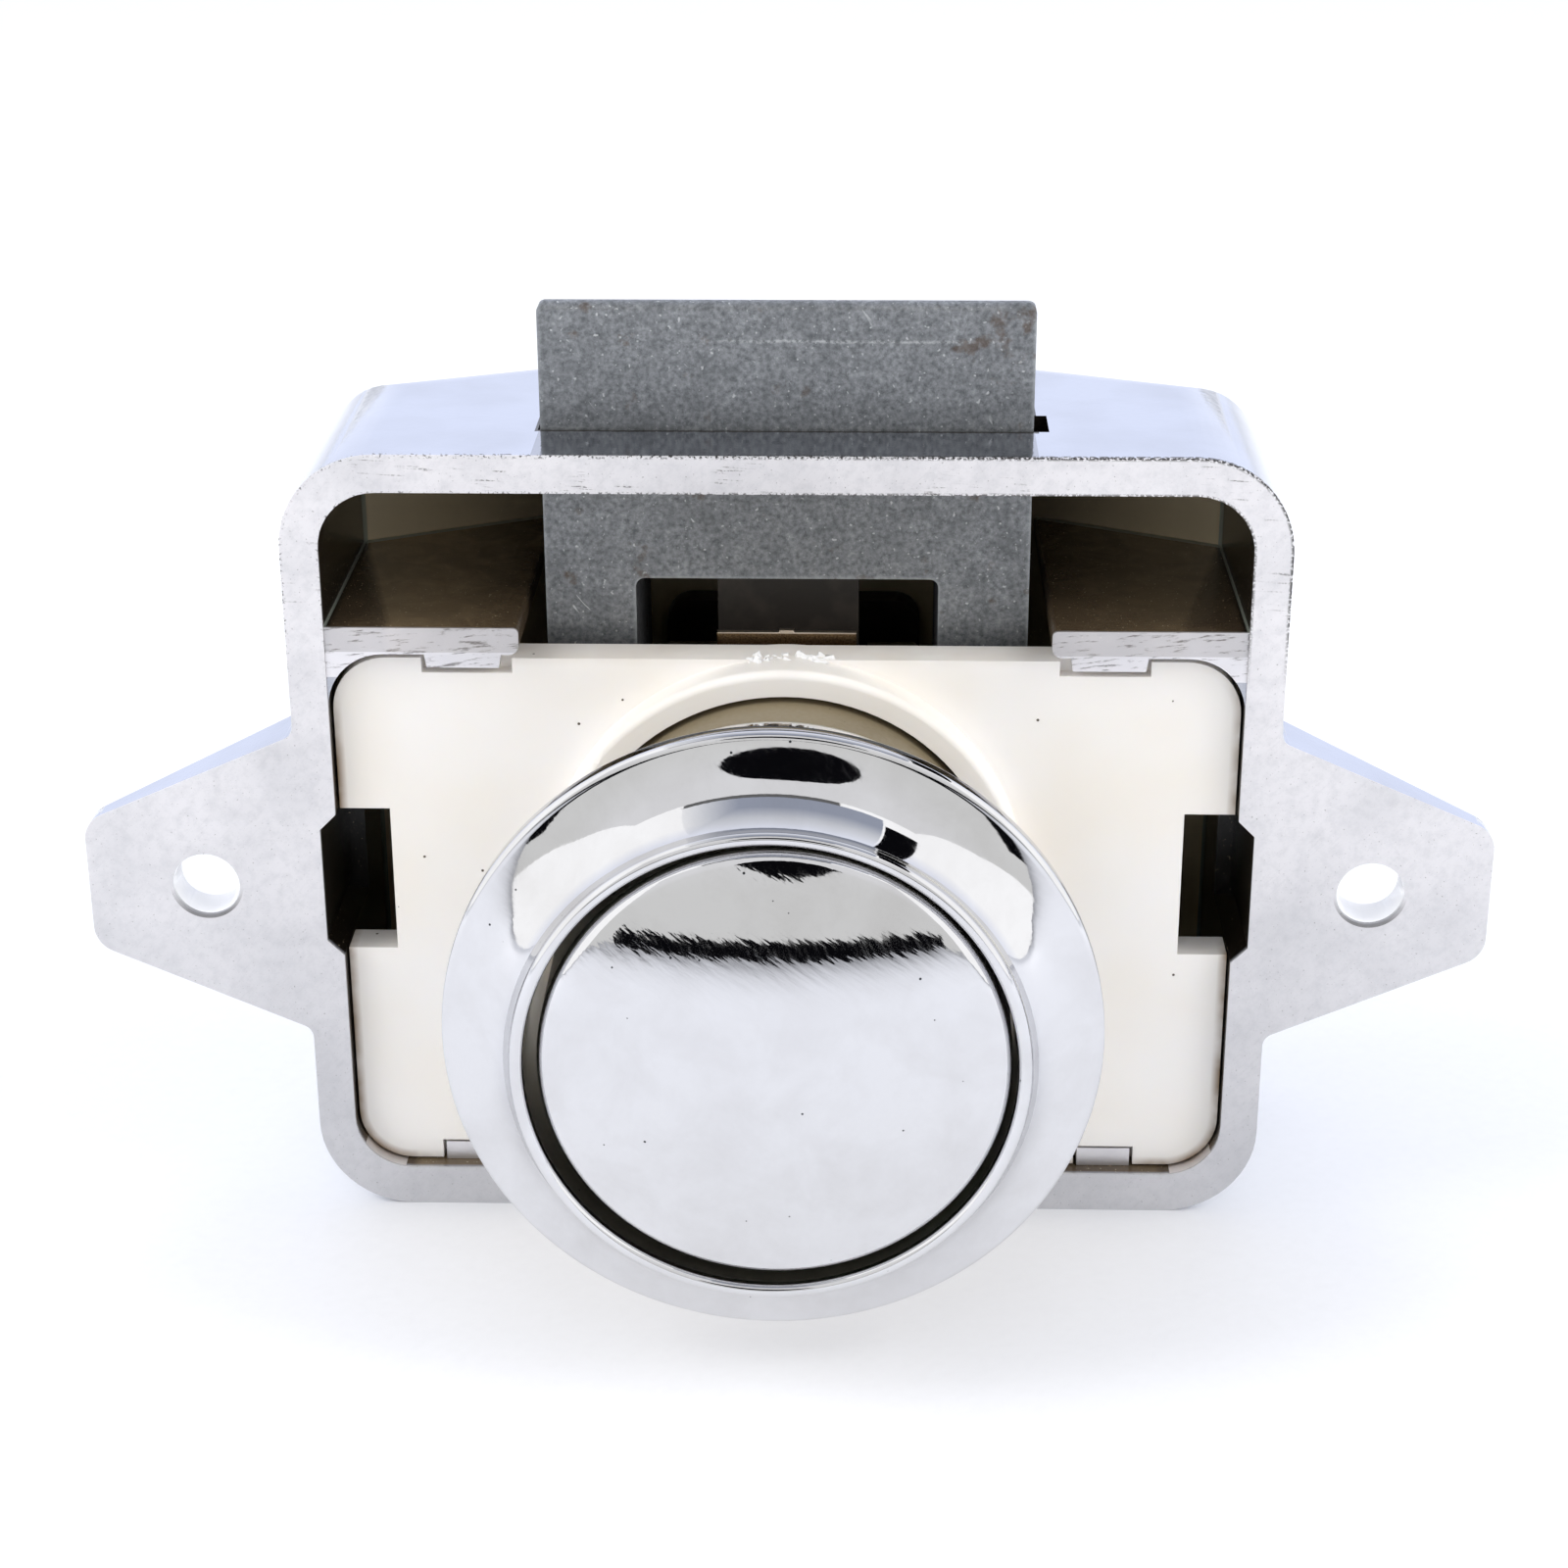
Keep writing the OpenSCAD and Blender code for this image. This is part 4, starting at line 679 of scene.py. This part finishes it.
def makeGateVestige(size):
    at, block = ([c * mm for c in size[k]] for k in ("at", "block"))
    bpy.ops.mesh.primitive_cube_add(size=1, location=at, scale=block)
    piece = bpy.context.active_object
    piece.name = piece.data.name = "gateVestige"
    bpy.ops.object.transform_apply(location=True, rotation=True, scale=True)
    bpy.ops.object.mode_set(mode="EDIT")
    bpy.ops.mesh.select_all(action="SELECT")
    bpy.ops.mesh.subdivide(number_cuts=size["cuts"])
    bpy.ops.object.mode_set(mode="OBJECT")
    crumbs = bpy.data.textures.new("gateCrumbs", "CLOUDS")
    crumbs.noise_scale = size["crumb"] * mm
    crumbs.noise_depth = 4
    tear = piece.modifiers.new("tear", "DISPLACE")
    tear.texture = crumbs
    tear.texture_coords = "LOCAL"
    tear.strength = size["ragged"] * mm
    tear.mid_level = 0.48
    bpy.ops.object.modifier_apply(modifier="tear")
    return closeUp(piece, ivoryFlash, smooth=40)


seat(makeGateVestige(vestige), "case", "ivory_abs")

print("leaf spring")
leaf = {
    "halfWidth": 3.8, "thick": 0.4, "tabHalf": 0.4, "tabTall": 0.13, "bendInset": 0.45, "edge": 0.05,
    "line": ((15.3, 8.2), (11.2, 8.2), (8.6, 7.7), (4.2, 7.7), (4.2, 13.55)),
}


def makeLeafStrip(size):
    last = Vector((-size["halfWidth"], *size["line"][0]))
    piece = startPoint("leafStrip", last)
    for along, height in size["line"][1:]:
        point = Vector((-size["halfWidth"], along, height))
        bpy.ops.mesh.extrude_region_move(TRANSFORM_OT_translate={"value": (point - last) * mm})
        last = point
    bpy.ops.mesh.select_all(action="SELECT")
    for width in (size["halfWidth"] - size["tabHalf"], 2 * size["tabHalf"], size["halfWidth"] - size["tabHalf"]):
        bpy.ops.mesh.extrude_region_move(TRANSFORM_OT_translate={"value": (width * mm, 0, 0)})
    bpy.ops.mesh.select_all(action="DESELECT")
    bpy.ops.object.mode_set(mode="OBJECT")
    corners = [Vector(c) * mm for c in size["line"][1:-1]]
    top = size["line"][-1][1] * mm
    points = piece.data.vertices
    for edge in piece.data.edges:  # the middle of the top edge becomes the small tab
        ends = [points[i].co for i in edge.vertices]
        edge.select = all(abs(c.z - top) < 0.01 * mm and abs(c.x) < (size["tabHalf"] + 0.01) * mm for c in ends)
    bpy.ops.object.mode_set(mode="EDIT")
    bpy.ops.mesh.extrude_region_move(TRANSFORM_OT_translate={"value": (0, 0, size["tabTall"] * mm)})
    bpy.ops.mesh.select_all(action="DESELECT")
    bpy.ops.object.mode_set(mode="OBJECT")
    for edge in piece.data.edges:  # the cross edges at the corners are bent to a radius
        ends = [points[i].co for i in edge.vertices]
        edge.select = abs(ends[0].x - ends[1].x) > 0.1 * mm and any(
            all((Vector((c.y, c.z)) - corner).length < 0.02 * mm for c in ends) for corner in corners)
    bpy.ops.object.mode_set(mode="EDIT")
    bpy.ops.mesh.bevel(offset=size["bendInset"] * mm, segments=5, affect="EDGES")
    bpy.ops.object.mode_set(mode="OBJECT")
    sheet = piece.modifiers.new("gauge", "SOLIDIFY")
    sheet.thickness = size["thick"] * mm
    sheet.offset = 0
    rounding = piece.modifiers.new("edges", "BEVEL")
    rounding.width = size["edge"] * mm
    rounding.limit_method = "ANGLE"
    rounding.angle_limit = math.radians(50)
    bpy.ops.object.modifier_apply(modifier="gauge")
    bpy.ops.object.modifier_apply(modifier="edges")
    return closeUp(piece, springStrip, smooth=35)


seat(makeLeafStrip(leaf), "case", "leaf_steel", "leaf_spring")

print("follower wire")
follower = {
    "wire": 0.5, "pivotY": 16.9, "top": 10.8, "arm": 6.95, "tip": 4.75, "tipY": 6.1, "lane": 1.9, "bend": 0.9,
    "around": 20,
}


def makeFollowerWire(size):
    reach = math.hypot(size["pivotY"] - size["tipY"], size["lane"])
    swing = math.atan2(size["lane"], size["pivotY"] - size["tipY"])
    bpy.ops.mesh.primitive_circle_add(
        vertices=size["around"], radius=size["wire"] * mm, fill_type="NGON",
        location=(0, size["pivotY"] * mm, size["top"] * mm),
    )
    piece = bpy.context.active_object
    piece.name = piece.data.name = "followerWire"
    bpy.ops.object.transform_apply(location=True, rotation=True, scale=True)
    bpy.ops.object.mode_set(mode="EDIT")
    bpy.ops.mesh.select_all(action="SELECT")
    down = size["top"] - size["arm"] - size["bend"]
    bpy.ops.mesh.extrude_region_move(TRANSFORM_OT_translate={"value": (0, 0, -down * mm)})
    near, far = size["pivotY"] - size["bend"], size["pivotY"] - reach + size["bend"]
    high, low = ((size["arm"] + side * size["bend"]) * mm for side in (1, -1))
    bpy.ops.mesh.spin(steps=8, angle=math.radians(90), center=(0, near * mm, high), axis=(1, 0, 0))
    bpy.ops.mesh.extrude_region_move(TRANSFORM_OT_translate={"value": (0, (far - near) * mm, 0)})
    bpy.ops.mesh.spin(steps=8, angle=math.radians(-90), center=(0, far * mm, low), axis=(1, 0, 0))
    down = size["arm"] - size["bend"] - size["tip"]
    bpy.ops.mesh.extrude_region_move(TRANSFORM_OT_translate={"value": (0, 0, -down * mm)})
    bpy.ops.mesh.select_all(action="SELECT")
    bpy.ops.mesh.remove_doubles(threshold=0.001 * mm)
    # with no window this operator turns the other way, hence the sign
    bpy.ops.transform.rotate(value=-swing, orient_axis="Z", center_override=(0, size["pivotY"] * mm, 0))
    return closeUp(piece, springWire, smooth=40)


seat(makeFollowerWire(follower), "follower", "spring_steel", "follower_wire")

print("coil springs")
boltCoil = {
    "other": "bolt", "axis": "Z", "radius": 1.45, "wire": 0.45, "turns": 9, "from": -17.73, "to": -2.62,
    "meets": ((0, 0, -17.7), (0, 0, -2.7)),
}
coils = {
    "returnCoil": {
        "node": "return_spring", "other": "button", "axis": "Y", "at": (0, 0), "radius": 2.25, "wire": 0.5,
        "turns": 14, "from": -3.48, "to": 18.63, "meets": ((0, 18.6, 0), (0, -3.5, 0)),
    },
    "boltCoilLeft": {**boltCoil, "node": "bolt_spring_left", "at": (-10.69, 10.36)},
    "boltCoilRight": {**boltCoil, "node": "bolt_spring_right", "at": (10.69, 10.36)},
}
coilSteps = {"around": 12, "perTurn": 28, "closed": 1.08}


def makeCoil(name, size):
    # One ring of wire is wound by a Screw modifier; then the end turns are closed up, wire on wire
    upright = size["axis"] == "Z"
    bpy.ops.mesh.primitive_circle_add(
        vertices=coilSteps["around"], radius=size["wire"] / 2 * mm, location=(size["radius"] * mm, 0, 0),
        rotation=(math.radians(90) if upright else 0, 0, 0),
    )
    piece = bpy.context.active_object
    piece.name = piece.data.name = name
    bpy.ops.object.transform_apply(location=True, rotation=True, scale=True)
    closed = size["wire"] * coilSteps["closed"]
    pitch = (size["to"] - size["from"] - size["wire"] - 2 * closed) / (size["turns"] - 2)
    winding = piece.modifiers.new("winding", "SCREW")
    winding.axis = size["axis"]
    winding.iterations = size["turns"]
    winding.screw_offset = pitch * mm
    winding.steps = winding.render_steps = coilSteps["perTurn"]
    bpy.ops.object.modifier_apply(modifier="winding")
    for point in piece.data.vertices:
        turn = point.index // coilSteps["around"] / coilSteps["perTurn"]
        ends = min(turn, 1.0) + max(0.0, turn - size["turns"] + 1)
        along = size["from"] + size["wire"] / 2 + (closed - pitch) * ends
        point.co += Vector((*size["at"], along) if upright else (size["at"][0], along, size["at"][1])) * mm
    bpy.ops.object.mode_set(mode="EDIT")
    bpy.ops.mesh.select_all(action="SELECT")
    bpy.ops.mesh.fill_holes(sides=coilSteps["around"])
    return closeUp(piece, springWire, smooth=50)


for name, size in coils.items():
    coil = makeCoil(name, size)
    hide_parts(size["node"])
    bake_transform(coil)

print("floor, lights and camera")
card = {"low": -20.1, "front": -520, "back": 2600, "half": 1600}
bpy.ops.mesh.primitive_plane_add(size=1, location=(0, (card["front"] + card["back"]) / 2 * mm, card["low"] * mm))
floor = bpy.context.active_object
floor.name = floor.data.name = "cardFloor"
floor.scale = (2 * card["half"] * mm, (card["back"] - card["front"]) * mm, 1)
bpy.ops.object.transform_apply(location=True, rotation=True, scale=True)
dress(floor, whiteCard(cardLook))

# Two weak soft boxes shape the matt parts; the chrome mirrors the tent alone
softBox = {
    "places": {"leftBox": (-0.45, -0.12, 0.36), "rightBox": (0.45, -0.12, 0.36)}, "wide": 0.30, "power": 1.2,
    "tint": (1.0, 0.99, 0.97),
}
for name, at in softBox["places"].items():
    lamp = bpy.data.lights.new(name, "AREA")
    lamp.shape = "RECTANGLE"
    lamp.size = lamp.size_y = softBox["wide"]
    lamp.energy = softBox["power"]
    lamp.color = softBox["tint"]
    stand = bpy.data.objects.new(name, lamp)
    stand.location = at
    stand.rotation_euler = Vector(at).to_track_quat("Z", "Y").to_euler()
    stand.visible_glossy = False
    scene.collection.objects.link(stand)

# A light tent: white walls, bluish low at the back; a grey curtain in front with the dark lens in it, a dark gap
# below it and a dark rail above it; and a bluish panel overhead with a black patch on its right.
# Places are parts of a unit direction, or slopes x/z and y/z for what is overhead. A small dictionary holds the
# numbered inputs of a fade.
tent = {
    "wall": (1.12, 1.12, 1.12, 1), "back": (0.79, 0.83, 0.97, 1), "curtain": (0.70, 0.70, 0.69, 1),
    "curtainHigh": (0.79, 0.79, 0.80, 1), "panel": (0.33, 0.36, 0.44, 1), "dark": (0.003, 0.003, 0.004, 1),
    "curtainSide": 0.64, "gapSide": 0.51, "curtainTop": -0.62, "railTop": -0.50, "railShade": 0.88,
    "railInset": 0.15, "gapTop": 0.012, "lens": (0.028, -0.913, 0.407), "lensSize": 0.20, "panelLeft": -0.55,
    "panelRight": 0.66, "panelEnd": 1.5, "patchRight": 1.0, "patchAt": 0.45, "patchDeep": 0.75, "strength": 1.25,
    "level": 0.02, "behind": {1: 0.2, 2: 0.7}, "hung": {1: 0.15, 2: 0.50}, "backGlow": {1: -0.15, 2: 0.85},
    "sideGlow": {3: 0.8, 4: 0.0}, "glowWide": 0.35,
}
world = bpy.data.worlds.new("lightTent")
world.use_nodes = True
scene.world = world
sky = world.node_tree
sky.nodes.clear()
way = addNode(sky, "TexCoord").outputs["Generated"]
wayX, wayY, wayZ = addNode(sky, "SeparateXYZ", {0: way}).outputs[:3]
height = addNode(sky, "Math", {0: wayZ, 1: tent["level"]}, operation="MAXIMUM")
overhead = addNode(sky, "Math", {0: wayZ, 1: tent["level"]}, operation="GREATER_THAN")
slopeX, slopeY = (addNode(sky, "Math", {0: part, 1: height}, operation="DIVIDE") for part in (wayX, wayY))
curtain = combine(
    sky, "MULTIPLY", (wayX, "COMPARE", 0.0, tent["curtainSide"]), (slopeY, "LESS_THAN", tent["curtainTop"]))
gap = combine(sky, "MULTIPLY", (wayX, "COMPARE", 0.0, tent["gapSide"]), curtain, (wayZ, "LESS_THAN", tent["gapTop"]))
middle, half = (tent["panelRight"] + tent["panelLeft"]) / 2, (tent["panelRight"] - tent["panelLeft"]) / 2
panel = combine(
    sky, "MULTIPLY", (slopeX, "COMPARE", middle, half), overhead, (slopeY, "GREATER_THAN", tent["railTop"]),
    (slopeY, "LESS_THAN", tent["panelEnd"]))
railMiddle, railHalf = (tent["railTop"] + tent["curtainTop"]) / 2, (tent["railTop"] - tent["curtainTop"]) / 2
rail = combine(
    sky, "MULTIPLY", (slopeY, "COMPARE", railMiddle, railHalf),
    (slopeX, "COMPARE", middle - tent["railInset"], half - tent["railInset"]), overhead, tent["railShade"])
patchHalf = (tent["patchRight"] - tent["panelRight"]) / 2
patch = combine(
    sky, "MULTIPLY", (slopeX, "COMPARE", tent["patchRight"] - patchHalf + 0.01, patchHalf - 0.01),
    (slopeY, "COMPARE", tent["patchAt"], tent["patchDeep"]), overhead)
toLens = addNode(sky, "VectorMath", {0: way, 1: Vector(tent["lens"]).normalized()}, operation="DISTANCE")
lens = addNode(sky, "Math", {0: toLens, 1: tent["lensSize"]}, operation="LESS_THAN")
behind = addNode(sky, "MapRange", {0: wayY, **tent["behind"]})
sideGlow = {0: slopeX, 1: tent["panelLeft"], 2: tent["panelLeft"] + tent["glowWide"], **tent["sideGlow"]}
glow = combine(
    sky, "MAXIMUM", addNode(sky, "MapRange", sideGlow), addNode(sky, "MapRange", {0: slopeY, **tent["backGlow"]}))
hung = addNode(sky, "MapRange", {0: wayZ, **tent["hung"]})
hung = addNode(sky, "Mix", {0: hung, 6: tent["curtain"], 7: tent["curtainHigh"]}, data_type="RGBA")
light = addNode(sky, "Mix", {0: behind, 6: tent["wall"], 7: tent["back"]}, data_type="RGBA")
light = addNode(sky, "Mix", {0: curtain, 6: light, 7: hung}, data_type="RGBA")
panelLight = addNode(sky, "Mix", {0: glow, 6: tent["panel"], 7: light}, data_type="RGBA")
seen = addNode(sky, "LightPath").outputs["Is Camera Ray"]
for mask, shade in (
    (panel, panelLight), (rail, tent["dark"]), (patch, tent["dark"]), (gap, tent["dark"]), (lens, tent["dark"]),
    (seen, (1, 1, 1, 1)),
):
    light = addNode(sky, "Mix", {0: mask, 6: light, 7: shade}, data_type="RGBA")
tentLight = addNode(sky, "Background", {0: light, 1: tent["strength"]})
addNode(sky, "OutputWorld", {0: tentLight})

view = {
    "at": (4.27, -151.4, 70.56), "right": (0.9996, 0.0271, -0.0035), "down": (0.0073, -0.3905, -0.9206),
    "forward": (-0.0264, 0.9202, -0.3906), "focal": 3099.75, "picture": 1600,
}
camera = bpy.data.cameras.new("photoCamera")
camera.sensor_width = 36
camera.lens = camera.sensor_width * view["focal"] / view["picture"]
camera.clip_start = 0.01
holder = bpy.data.objects.new("photoCamera", camera)
right, down, forward = (Vector(view[k]) for k in ("right", "down", "forward"))
turn = Matrix((right, -down, -forward)).transposed().to_4x4()
holder.matrix_world = Matrix.Translation(Vector(view["at"]) * mm) @ turn
scene.collection.objects.link(holder)
scene.camera = holder

print("finishing")
